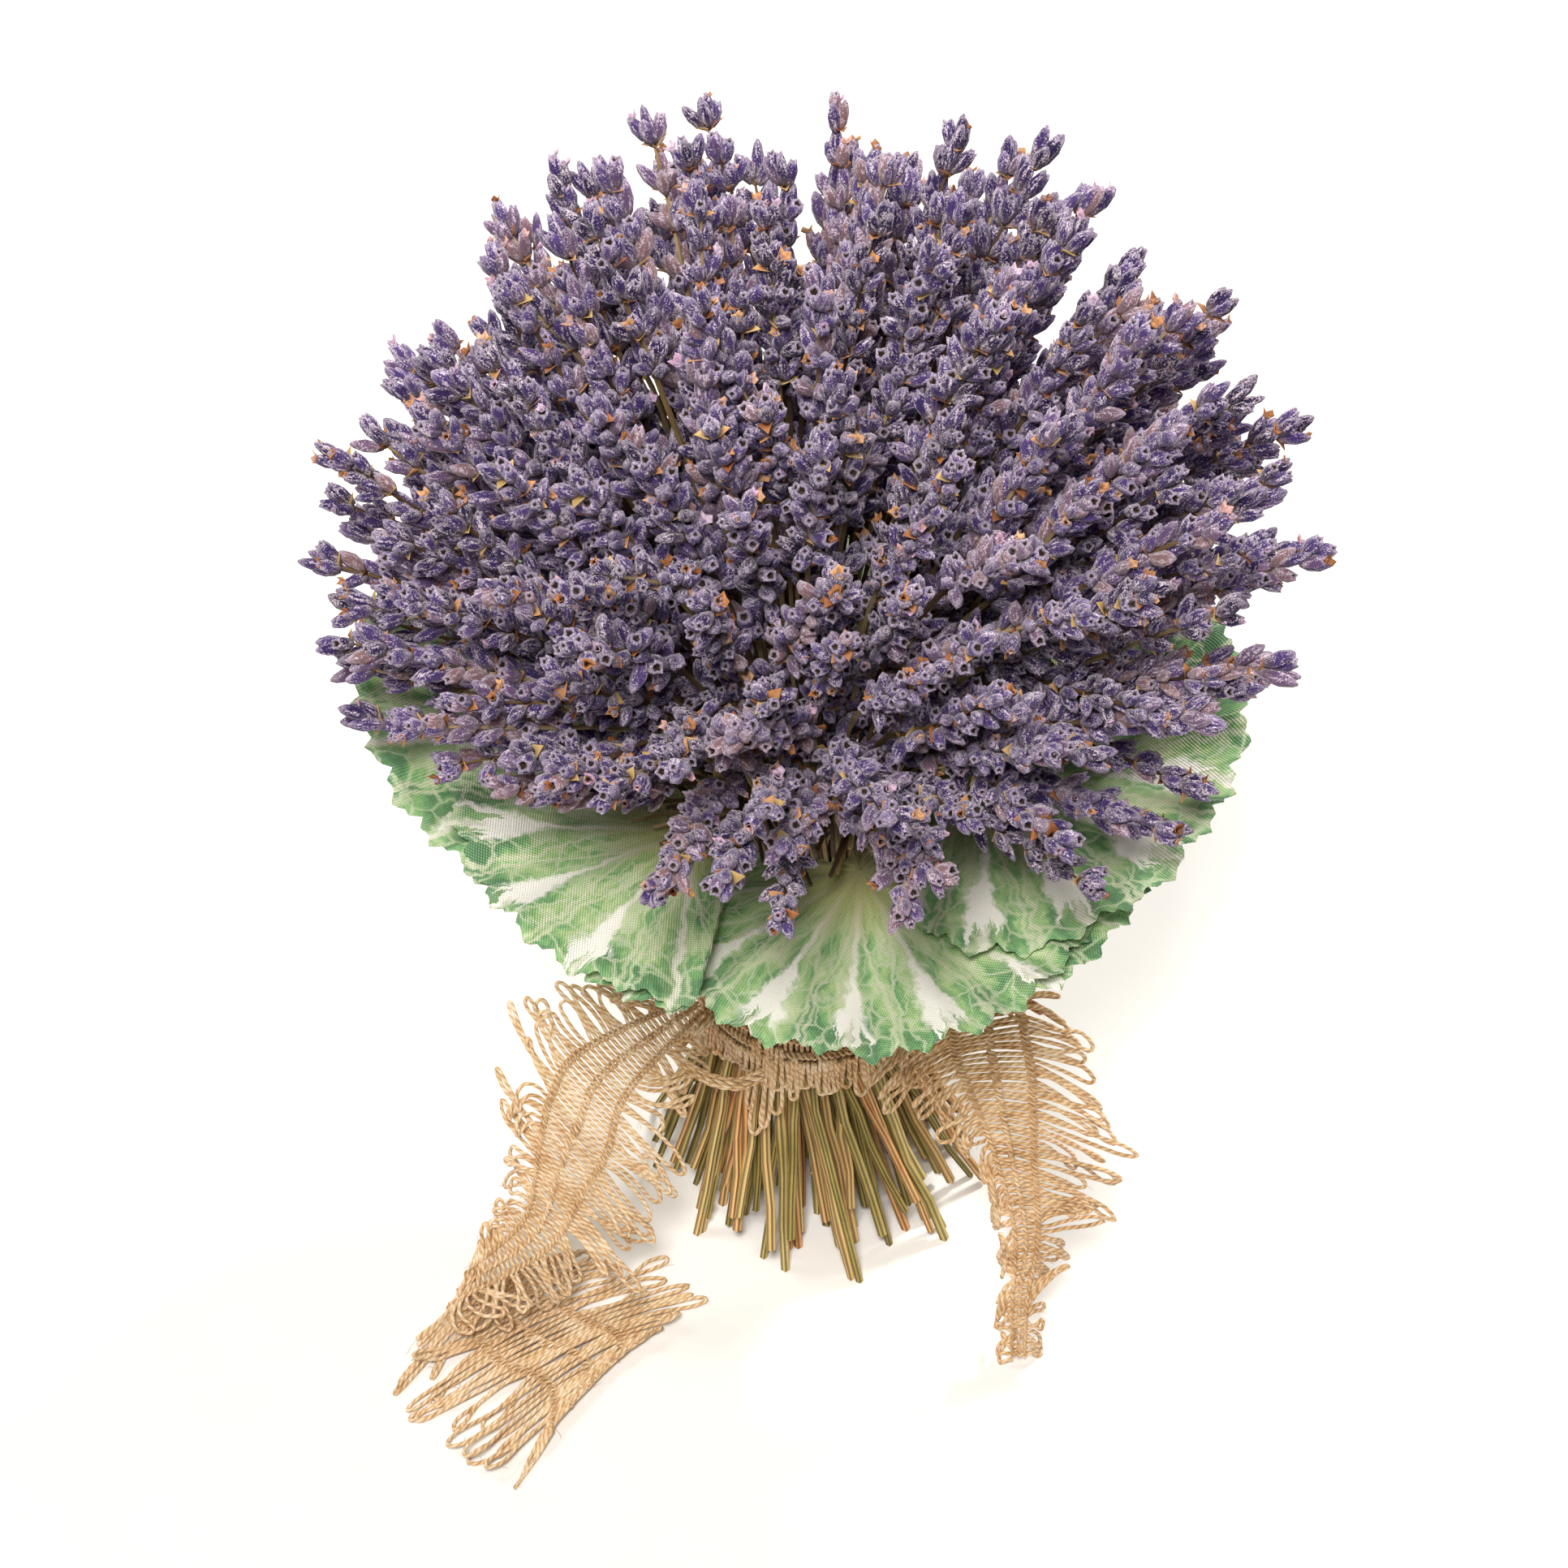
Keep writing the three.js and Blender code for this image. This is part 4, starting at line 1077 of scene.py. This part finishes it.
flame_end = add_node(tree, "ShaderNodeMapRange", {
    "Value": jags.outputs["Fac"], "From Min": 0.3, "From Max": 0.7, "To Min": 4.5,
    "To Max": 6.6})
flame_end = add_node(tree, "ShaderNodeMath", {0: flame_end, 1: radius}, operation="SUBTRACT")
flame = add_node(tree, "ShaderNodeMath", {0: flame_side, 1: flame_end}, operation="MINIMUM")
cream_share = add_node(tree, "ShaderNodeMapRange", {"Value": flame, "From Max": 0.16})
green_place = add_node(tree, "ShaderNodeVectorMath", {0: polar, 1: (0.5, 0.9, 1.0)},
                       operation="MULTIPLY")
greens = add_node(tree, "ShaderNodeTexNoise", {"Vector": green_place, "Scale": 1.0,
                                               "Detail": 5.0, "Roughness": 0.65})
rim_dark = add_node(tree, "ShaderNodeMapRange", {
    "Value": radius, "From Min": 4.2, "From Max": 6.0, "To Min": 0.05, "To Max": -0.09})
greens = add_node(tree, "ShaderNodeMath", {0: greens.outputs["Fac"], 1: rim_dark})
green = add_node(tree, "ShaderNodeValToRGB", {"Fac": greens}, stops=[
    (0.38, "4f9052"), (0.66, "e8f7c2"), (0.46, "78ba6a"), (0.55, "b4dc8c")])
base_share = add_node(tree, "ShaderNodeMapRange", {
    "Value": radius, "From Min": 0.9, "From Max": 2.6, "To Min": 0.85, "To Max": 0.0})
printed = green
for share, colour in ((net_vein, "d8e9bb"), (halo, "b9d592"), (fork_vein, "ebf2ca"),
                      (main_vein, "f8fae2"), (cream_share, "fffff2"), (base_share, "c6c66c")):
    printed = add_node(tree, "ShaderNodeMix", {
        "Factor": share, "A": printed, "B": hex_colour(colour)}, data_type="RGBA")
# The weave is painted: sunk threads are darkened with painted shade and raised threads are
# lightened towards white with a painted glint, over the bump that gives its relief.
threads = []
for way in "XY":
    crossed = add_node(tree, "ShaderNodeMath", {
        0: parts.outputs[way], 1: 2 * math.pi / WEAVE_PITCH}, operation="MULTIPLY")
    threads.append(add_node(tree, "ShaderNodeMath", {0: crossed}, operation="SINE"))
weave = add_node(tree, "ShaderNodeMath", dict(enumerate(threads)), operation="MULTIPLY")
raised_thread = add_node(tree, "ShaderNodeMapRange", {
    "Value": weave, "From Min": -0.4, "From Max": 0.8})
shaded_share = add_node(tree, "ShaderNodeMapRange", {
    "Value": cream_share, "To Min": 0.7, "To Max": 0.96})
sunk_in_painted_shade = add_node(tree, "ShaderNodeMix", {"Factor": 1.0, "A": printed, "B": shaded_share},
                data_type="RGBA", blend_type="MULTIPLY")
risen_with_painted_glint = add_node(tree, "ShaderNodeMix", {
    "Factor": 0.16, "A": printed, "B": hex_colour("ffffff")}, data_type="RGBA")
woven = add_node(tree, "ShaderNodeMix", {
    "Factor": raised_thread, "A": sunk_in_painted_shade, "B": risen_with_painted_glint}, data_type="RGBA")
bump = add_node(tree, "ShaderNodeBump", {
    "Strength": 0.5, "Distance": 0.2 * MM, "Height": weave})
tree.links.new(woven.outputs[2], shader.inputs["Base Color"])
tree.links.new(bump.outputs[0], shader.inputs["Normal"])

# Petiole wire: wrapped in pale green paper tape, matt with faint turns of the tape.
petiole_wire, tree, shader = start_material("paper_taped_wire", Roughness=0.8)
uv = add_node(tree, "ShaderNodeUVMap", uv_map="UVMap")
turns = add_node(tree, "ShaderNodeTexWave", {"Vector": uv, "Scale": 0.3, "Distortion": 1.0},
                 bands_direction="DIAGONAL")
ramp = add_node(tree, "ShaderNodeValToRGB", {"Fac": turns}, stops=[
    (0.0, "5d7a45"), (1.0, "7f9a5c")])
tree.links.new(ramp.outputs[0], shader.inputs["Base Color"])

for name, degrees, reach, radius_mm, layer in LEAVES:
    leaf = make_leaf(name, degrees, reach, radius_mm, layer)
    turn = math.radians(degrees)
    across = np.array((math.cos(turn), math.sin(turn), 0))
    blade = leaf_height(layer, *(PETIOLE_TOP * across[:2]))
    heights = (PETIOLE_FOOT[1], blade - PETIOLE_KINK_DROP, blade - PETIOLE_UNDER_BLADE)
    reaches = (PETIOLE_FOOT[0], PETIOLE_KINK, PETIOLE_TOP)
    stops = [(across * r + np.array((0, 0, h))) * MM for r, h in zip(reaches, heights)]
    path = bezier(stops, PETIOLE_RINGS)
    heap = Heap()
    heap.add(tube(path, [PETIOLE_RADIUS * MM] * PETIOLE_RINGS, 8, 0))
    petiole = heap.make(name.replace("leaf", "petiole"), [petiole_wire])
    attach(petiole, "root")
    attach(leaf, "root")
    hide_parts(name)

# ---- Jute trim ----
# A ribbon of natural jute made by laying one soft two-ply yarn to and fro across three
# chain-stitched rows, so that it ends in long loops at both edges. It is wound round the
# stems as the band, and its two ends hang as the tails. Lengths here are in millimetres.

YARN_RADIUS = 0.55
YARN_PITCH = 1.4
YARN_STRAY = 0.8  # aside from its even place, halfway between the rows and the loops
STITCH_RADIUS = 0.42
ROWS = (-0.3, 0.0, 0.3)  # of the stitching, as shares of the ribbon's half width
LOOPS_IN_BUNCH = 3  # that lean and drift together
BUNCH_WANDER = 4.5  # along the ribbon at the loops' tips
LOOP_WANDER = 1.8
BUNCH_DRIFT = 2.5  # out of the ribbon at the loops' tips
LOOP_DRIFT = 1.2
LOOP_DROOP = 5
LOOP_REACHES = (0.74, 1.12)  # as shares of the ribbon's half width
LOOP_HALF_WIDTHS = (0.9, 2.4)
LOOP_LEGS = (  # which leg of a loop a point is on, and its share of the way out
    (-1, 0), (-1, 0.3), (-1, 0.6), (-1, 0.88), (0, 1), (1, 0.88), (1, 0.6), (1, 0.3), (1, 0))
YARN_LIFT = 1.1  # out of the ribbon, where a yarn crosses its middle
STITCH_SWING = 0.03  # as a share of the ribbon's half width
HAIR_RADIUS = 0.07
HAIR_LENGTHS = (2, 5)
HAIR_SPREAD = 0.6
LEFT_TAIL = [  # left edge, middle and right edge, in millimetres
    ((-25.8, -13.1, 85), (-25.8, -13.1, 77), (-25.8, -13.1, 69)),
    ((-70, -24, 91), (-53, -32, 69), (-34, -38, 50)),
    ((-81, -30, 85), (-60, -42, 60), (-35, -48, 28)),
    ((-79, -38, 63), (-65, -48, 49), (-42, -55, 20)),
    ((-81, -46, 36), (-72, -54, 29), (-63, -62, 12)),
    ((-87, -52, 23), (-92, -62, 15), (-100, -69, 4)),
    ((-61, -41, 2.5), (-83, -59, 2.5), (-107, -79, 2.5)),
    ((-32, -46, 2.5), (-72, -69, 2.5), (-103, -91, 2.5)),
    ((-31, -59, 2.5), (-59, -76, 2.5), (-92, -105, 2.5)),
    ((-51, -73, 2.5), (-63, -92, 2.5), (-76, -114, 2.5)),
]
RIGHT_TAIL = [
    ((23.4, -17, 69), (23.4, -17, 77), (23.4, -17, 85)),
    ((16, -44, 86), (42, -36, 99), (64, -28, 94)),
    ((19, -46, 76), (46, -42, 87), (80, -38, 73)),
    ((35, -50, 68), (49, -48, 73), (83, -44, 55)),
    ((45, -54, 54), (52, -54, 59), (78, -52, 42)),
    ((49, -60, 33), (56, -62, 39), (69, -60, 31)),
    ((49, -66, 16), (55, -68, 19), (62, -66, 16)),
    ((50, -75, 2.5), (55, -75, 2.5), (61, -75, 2.5)),
]


def smooth_through(points, counts):
    """A curve through points, with the given number of steps from each to the next."""
    points = [np.asarray(p, float) for p in points]
    padded = [2 * points[0] - points[1], *points, 2 * points[-1] - points[-2]]
    path = []
    for k in range(len(points) - 1):
        a, b, c, d = padded[k:k + 4]
        for step in range(counts):
            t = step / counts
            path.append(0.5 * (2 * b + (c - a) * t + (2 * a - 5 * b + 4 * c - d) * t ** 2
                               + (3 * b - a - 3 * c + d) * t ** 3))
    path.append(points[-1])
    return np.array(path)


def add_yarn(heap, points, draw, radius=YARN_RADIUS, steps=3):
    """One length of yarn through its points, never below the surface that it lies on."""
    path = smooth_through(points, steps)
    path[:, 2] = np.maximum(path[:, 2], radius)
    heap.add(tube(path * MM, [radius * MM] * len(path), 6, 0), tone=draw.random())


def add_hairs(heap, path, draw, count):
    """Stray fibres that stand out of a yarn, each bent over at its end."""
    for _ in range(count):
        root = path[draw.randrange(len(path))]
        reach = draw.uniform(*HAIR_LENGTHS)
        out, over = [
            np.array([draw.gauss(0, HAIR_SPREAD) for _ in range(3)]) for _ in range(2)]
        hair = bezier([root, root + out * reach / 2, root + (out + over) * reach / 2], 4)
        hair[:, 2] = np.maximum(hair[:, 2], HAIR_RADIUS)
        radii = [HAIR_RADIUS * share * MM for share in (1, 1, 1, 0.5)]
        heap.add(tube(hair * MM, radii, 3, 0), tone=1.0)


def hairpin(draw, wander):
    """One loop from the rows to its tip and back: shares of its reach and millimetres aside.

    Each point is the share of the way out, the place along the ribbon from the loop's own
    middle, and the share of the loop's drift out of the ribbon that it has there.
    """
    half_width = draw.uniform(*LOOP_HALF_WIDTHS)
    strays = {-1: draw.gauss(0, YARN_STRAY), 0: 0, 1: draw.gauss(0, YARN_STRAY)}
    points = []
    for leg, share in LOOP_LEGS:
        spread = YARN_PITCH / 2 * (1 - share) + half_width * share ** 2
        aside = leg * spread + wander * share ** 1.5 + strays[leg] * 4 * share * (1 - share)
        points.append((share, aside, share ** 2))
    return points


def make_ribbon(name, rungs, draw, hairs):
    """Yarn to and fro between a ribbon's edges, the rows stitched along it, and its hairs."""
    edges = [smooth_through([rung[i] for rung in rungs], 12) for i in range(3)]
    steps = np.linalg.norm(np.diff(edges[1], axis=0), axis=1)
    lengths = np.concatenate([[0], np.cumsum(steps)])
    count = int(lengths[-1] / YARN_PITCH)

    def at(distance, across):
        """A point of the ribbon, from -1 at its left edge through 0 to 1 at its right."""
        left, middle, right = [
            np.array([np.interp(distance, lengths, edge[:, axis]) for axis in range(3)])
            for edge in edges]
        return (left * across * (across - 1) / 2 + middle * (1 - across ** 2)
                + right * across * (across + 1) / 2)

    def face(distance):
        """The direction that the ribbon faces there."""
        along = at(distance + 2, 0) - at(distance - 2, 0)
        over = np.cross(at(distance, 1) - at(distance, -1), along)
        return over / max(np.linalg.norm(over), 1e-6)

    heap = Heap()
    path = []
    bunch = {}
    for k in range(count):
        distance = (k + 0.5) * YARN_PITCH
        side = 1 if k % 2 else -1
        if k % (2 * LOOPS_IN_BUNCH) < 2:
            bunch[side] = (draw.gauss(0, BUNCH_WANDER), draw.gauss(0, BUNCH_DRIFT))
        wander = bunch[side][0] + draw.gauss(0, LOOP_WANDER)
        drift = bunch[side][1] + draw.gauss(0, LOOP_DRIFT)
        droop = draw.uniform(0, LOOP_DROOP)
        reach = draw.uniform(*LOOP_REACHES) - ROWS[2]
        over = face(distance)
        path.append(at(distance, 0) + over * draw.uniform(-YARN_LIFT, YARN_LIFT))
        for share, aside, drifted in hairpin(draw, wander):
            across = side * (ROWS[2] + reach * share)
            point = at(distance + YARN_PITCH / 2 + aside, across) + over * drift * drifted
            path.append(point - np.array((0, 0, droop * drifted)))
    add_yarn(heap, path, draw)
    for row in ROWS:
        for twist in (0, math.pi):
            stitches = []
            for k in range(2 * count):
                distance = (k + 0.5) * YARN_PITCH / 2
                swing = math.pi * k / 2 + twist
                across = row + STITCH_SWING * math.cos(swing)
                stitches.append(at(distance, across) + face(distance) * math.sin(swing))
            add_yarn(heap, stitches, draw, radius=STITCH_RADIUS, steps=2)
    add_hairs(heap, path, draw, hairs)
    return heap.make(name, [jute]), lengths[-1]


# Natural jute yarn: two plies twisted together, matt and hairy, tan with straw-pale fibres.
# Its colour follows the height of the plies and fibres, so painted shade darkens the grooves
# to brown and painted highlight pales the tops to cream. The fibres follow the twist.
PLY_PITCH = 2.5
jute, tree, shader = start_material(
    "twisted_jute_yarn", Roughness=0.85, Sheen_Weight=0.3, Sheen_Roughness=0.5,
    Specular_IOR_Level=0.2)
tone = add_node(tree, "ShaderNodeAttribute", attribute_name="tone").outputs["Fac"]
uv = add_node(tree, "ShaderNodeUVMap", uv_map="UVMap")
place = add_node(tree, "ShaderNodeTexCoord").outputs["Object"]
parts = add_node(tree, "ShaderNodeSeparateXYZ", {0: uv})
turned = add_node(tree, "ShaderNodeMath", {0: parts.outputs["X"], 1: 4 * math.pi},
                  operation="MULTIPLY")
twisted = add_node(tree, "ShaderNodeMath", {0: parts.outputs["Y"],
                                            1: 2 * math.pi / PLY_PITCH, 2: turned},
                   operation="MULTIPLY_ADD")
plies = add_node(tree, "ShaderNodeMath", {0: twisted}, operation="SINE")
lengthways = add_node(tree, "ShaderNodeMath", {0: parts.outputs["Y"], 1: 0.5},
                      operation="MULTIPLY")
fibre_place = add_node(tree, "ShaderNodeCombineXYZ", {"X": twisted, "Y": lengthways})
fibres = add_node(tree, "ShaderNodeTexNoise", {"Vector": fibre_place, "Scale": 1.0,
                                               "Detail": 4.0, "Roughness": 0.75})
blotch = add_node(tree, "ShaderNodeTexNoise", {"Vector": place, "Scale": 160.0})
# Height is used for the colour too: painted shade in the grooves, painted highlight on top.
height = add_node(tree, "ShaderNodeMath", {0: plies, 1: 0.1, 2: fibres.outputs["Fac"]},
                  operation="MULTIPLY_ADD")
shade = add_node(tree, "ShaderNodeMath", {0: blotch.outputs["Fac"], 1: 0.4, 2: height},
                 operation="MULTIPLY_ADD")
shade = add_node(tree, "ShaderNodeMath", {0: tone, 1: 0.12, 2: shade},
                 operation="MULTIPLY_ADD")
ramp = add_node(tree, "ShaderNodeValToRGB", {"Fac": shade}, stops=[
    (0.44, "7f5430"), (1.0, "fff3dc"), (0.64, "c39560"), (0.82, "edca9b")])
bump = add_node(tree, "ShaderNodeBump", {
    "Strength": 0.8, "Distance": 0.3 * MM, "Height": height})
tree.links.new(ramp.outputs[0], shader.inputs["Base Color"])
tree.links.new(bump.outputs[0], shader.inputs["Normal"])

for name, rungs, width, seed, hairs in (  # the width is the flat ribbon's, loops laid out
    ("jute_tail_left", LEFT_TAIL, 70 * MM, 31, 420),
    ("jute_tail_right", RIGHT_TAIL, 60 * MM, 32, 240),
):
    tail, length = make_ribbon(f"looped_{name}", rungs, random.Random(seed), hairs)
    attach(tail, "root")
    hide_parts(name)

# The band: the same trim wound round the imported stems, its loops gathered up and down. A
# few loops have slipped out below it and hang over the stems, and at the left its end is
# twisted into a strand.
BAND_BOTTOM = 62
BAND_TOP = 92
BAND_INNER = 23.4
BAND_OUTER = 27.2
BAND_TURNS = 2
BAND_SEED = 33
BAND_LEG = (-0.8, 0.0, 0.8, 1.0)  # a yarn's points across the band, the last one its loop's
BAND_REACHES = (0.9, 1.12)  # of the loops, as shares of the band's half height
BAND_BULGE = 1.2  # at the middle of its height
BAND_SCATTER = (-0.5, 0.7)  # outwards
BAND_LOOP_SHIFT = 0.012  # radians round the stems, that a loop's end leads by
BAND_ROWS = (71, 77, 83)
BAND_STITCHES = 240
BAND_ROW_PROUD = 1.6
BAND_STITCH_OUT = 0.7
BAND_STITCH_UP = 0.8
BAND_LOOPS_FROM = -165  # degrees round the front, over which short loops show below it
BAND_LOOPS_TO = -15
BAND_LOOP_STEP = 3.1
BAND_LOOP_STEP_SHARES = (0.6, 1.4)
BAND_LOOP_DROPS = (0, 5)
BAND_LOOP_HALF_WIDTHS = (0.7, 1.3)
LONG_LOOP_HALF_WIDTHS = (1.0, 1.8)
HANGING_LEGS = (  # which leg of a loop a point is on, and its share of the way down
    (-1, -0.5), (-1, 0), (-1, 0.5), (-1, 0.88), (0, 1), (1, 0.88), (1, 0.5), (1, 0), (1, -0.5))
HANGING_FROM = BAND_BOTTOM + 4
HANGING_OUT = BAND_OUTER + 2.2
HANGING_SPLAY = 0.3  # outwards for each millimetre below the band
LONG_LOOPS = [  # degrees round the bunch, and the height that each hangs down to
    (-119, 50), (-115, 43), (-111, 46), (-106, 51), (-98, 56), (-64, 55), (-58, 58),
]
STRAND = [(-25, -16, 72), (-35, -21, 64), (-28, -27, 61), (-19, -29, 60), (-12, -28, 63)]
STRAND_YARNS = 5
STRAND_TURN_POINTS = 11  # for one turn of the twist
STRAND_RADIUS = 1.3

draw = random.Random(BAND_SEED)
heap = Heap()
path = []
middle = (BAND_BOTTOM + BAND_TOP) / 2
count = int(BAND_TURNS * math.pi * 2 * BAND_OUTER / YARN_PITCH)
for k in range(count):
    angle = k / count * BAND_TURNS * 2 * math.pi
    layer = BAND_INNER + (BAND_OUTER - BAND_INNER) * k / count
    up = 1 if k % 2 else -1
    for share in BAND_LEG:
        reach = up * share * (BAND_TOP - BAND_BOTTOM) / 2 * draw.uniform(*BAND_REACHES)
        out = layer + BAND_BULGE * (1 - share ** 2) + draw.uniform(*BAND_SCATTER)
        shift = angle + (BAND_LOOP_SHIFT if share == 1.0 else 0)
        path.append((out * math.cos(shift), out * math.sin(shift), middle + reach))
add_yarn(heap, path, draw)
for height in BAND_ROWS:
    for twist in (0, math.pi):
        stitches = []
        for k in range(BAND_STITCHES):
            angle = k / BAND_STITCHES * 2 * math.pi
            swing = math.pi * k / 2 + twist
            out = BAND_OUTER + BAND_ROW_PROUD + BAND_STITCH_OUT * math.sin(swing)
            z = height + BAND_STITCH_UP * math.cos(swing)
            stitches.append((out * math.cos(angle), out * math.sin(angle), z))
        stitches.append(stitches[0])
        add_yarn(heap, stitches, draw, radius=STITCH_RADIUS, steps=2)


def add_hanging_loop(degrees, lowest, half_width):
    """A loop that comes out of the band's lower edge and lies over the stems below it."""
    points = []
    for leg, share in HANGING_LEGS:
        height = HANGING_FROM - share * (HANGING_FROM - lowest)
        splay = max(0, BAND_BOTTOM - height) * HANGING_SPLAY
        out = HANGING_OUT + splay + draw.uniform(-0.3, 0.3)
        angle = math.radians(degrees) + leg * half_width * (0.6 + 0.4 * share) / out
        points.append((out * math.cos(angle), out * math.sin(angle), height))
    add_yarn(heap, points, draw)
    add_hairs(heap, points, draw, 3)


degrees = BAND_LOOPS_FROM
while degrees < BAND_LOOPS_TO:
    lowest = BAND_BOTTOM - draw.uniform(*BAND_LOOP_DROPS)
    add_hanging_loop(degrees, lowest, draw.uniform(*BAND_LOOP_HALF_WIDTHS))
    degrees += BAND_LOOP_STEP * draw.uniform(*BAND_LOOP_STEP_SHARES)
for degrees, lowest in LONG_LOOPS:
    add_hanging_loop(degrees, lowest, draw.uniform(*LONG_LOOP_HALF_WIDTHS))
strand = smooth_through(STRAND, 6)
for k in range(STRAND_YARNS):
    points = []
    for i, point in enumerate(strand):
        turn = 2 * math.pi * (k / STRAND_YARNS + i / STRAND_TURN_POINTS)
        points.append(point + STRAND_RADIUS * np.array((0, math.cos(turn), math.sin(turn))))
    add_yarn(heap, points, draw)
    add_hairs(heap, points, draw, 12)
band = heap.make("looped_jute_band", [jute])
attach(band, "root")
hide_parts("jute_band")

# ---- Floor and light ----
# A plain pale floor under soft studio light: a small panel from the right and behind throws
# the stems' shadows forward and to the left, a weak one lights the left edge from behind,
# and a wide high one in front fills the head.

FLOOR_SIZE = 6
bpy.ops.mesh.primitive_plane_add(size=FLOOR_SIZE)
floor = bpy.context.object
floor.name = "floor"
floor_paper, tree, shader = start_material("matt_paper_floor", Roughness=0.9)
place = add_node(tree, "ShaderNodeTexCoord").outputs["Object"]
grain = add_node(tree, "ShaderNodeTexNoise", {"Vector": place, "Scale": 40.0})
ramp = add_node(tree, "ShaderNodeValToRGB", {"Fac": grain.outputs["Fac"]}, stops=[
    (0.0, "f4f3f1"), (1.0, "f8f7f6")])
tree.links.new(ramp.outputs[0], shader.inputs["Base Color"])
floor.data.materials.append(floor_paper)

WARM_LIGHT = (1.0, 0.96, 0.925)
ROOM_LIGHT = (1.0, 0.93, 0.88, 1.0)
ROOM_LIGHT_STRENGTH = 0.13
LIT_POINT = Vector((0, 0, 0.15))
LIGHTS = [  # name, place, size in metres, power in watts
    ("back_right_panel", (0.6, 0.75, 1.2), 0.22, 17),
    ("back_left_panel", (-0.95, 0.35, 1.0), 0.5, 6),
    ("front_panel", (-0.15, -0.93, 1.58), 0.45, 30),
]
for name, place, size, power in LIGHTS:
    bpy.ops.object.light_add(type="AREA", location=place)
    light = bpy.context.object
    light.name = name
    light.data.size = size
    light.data.energy = power
    light.data.color = WARM_LIGHT
    aim = LIT_POINT - Vector(place)
    light.rotation_euler = aim.to_track_quat("-Z", "Y").to_euler()

world = bpy.data.worlds.new("studio")
world.use_nodes = True
background = world.node_tree.nodes["Background"]
background.inputs["Color"].default_value = ROOM_LIGHT
background.inputs["Strength"].default_value = ROOM_LIGHT_STRENGTH
bpy.context.scene.world = world
bpy.context.scene.view_settings.view_transform = "Standard"
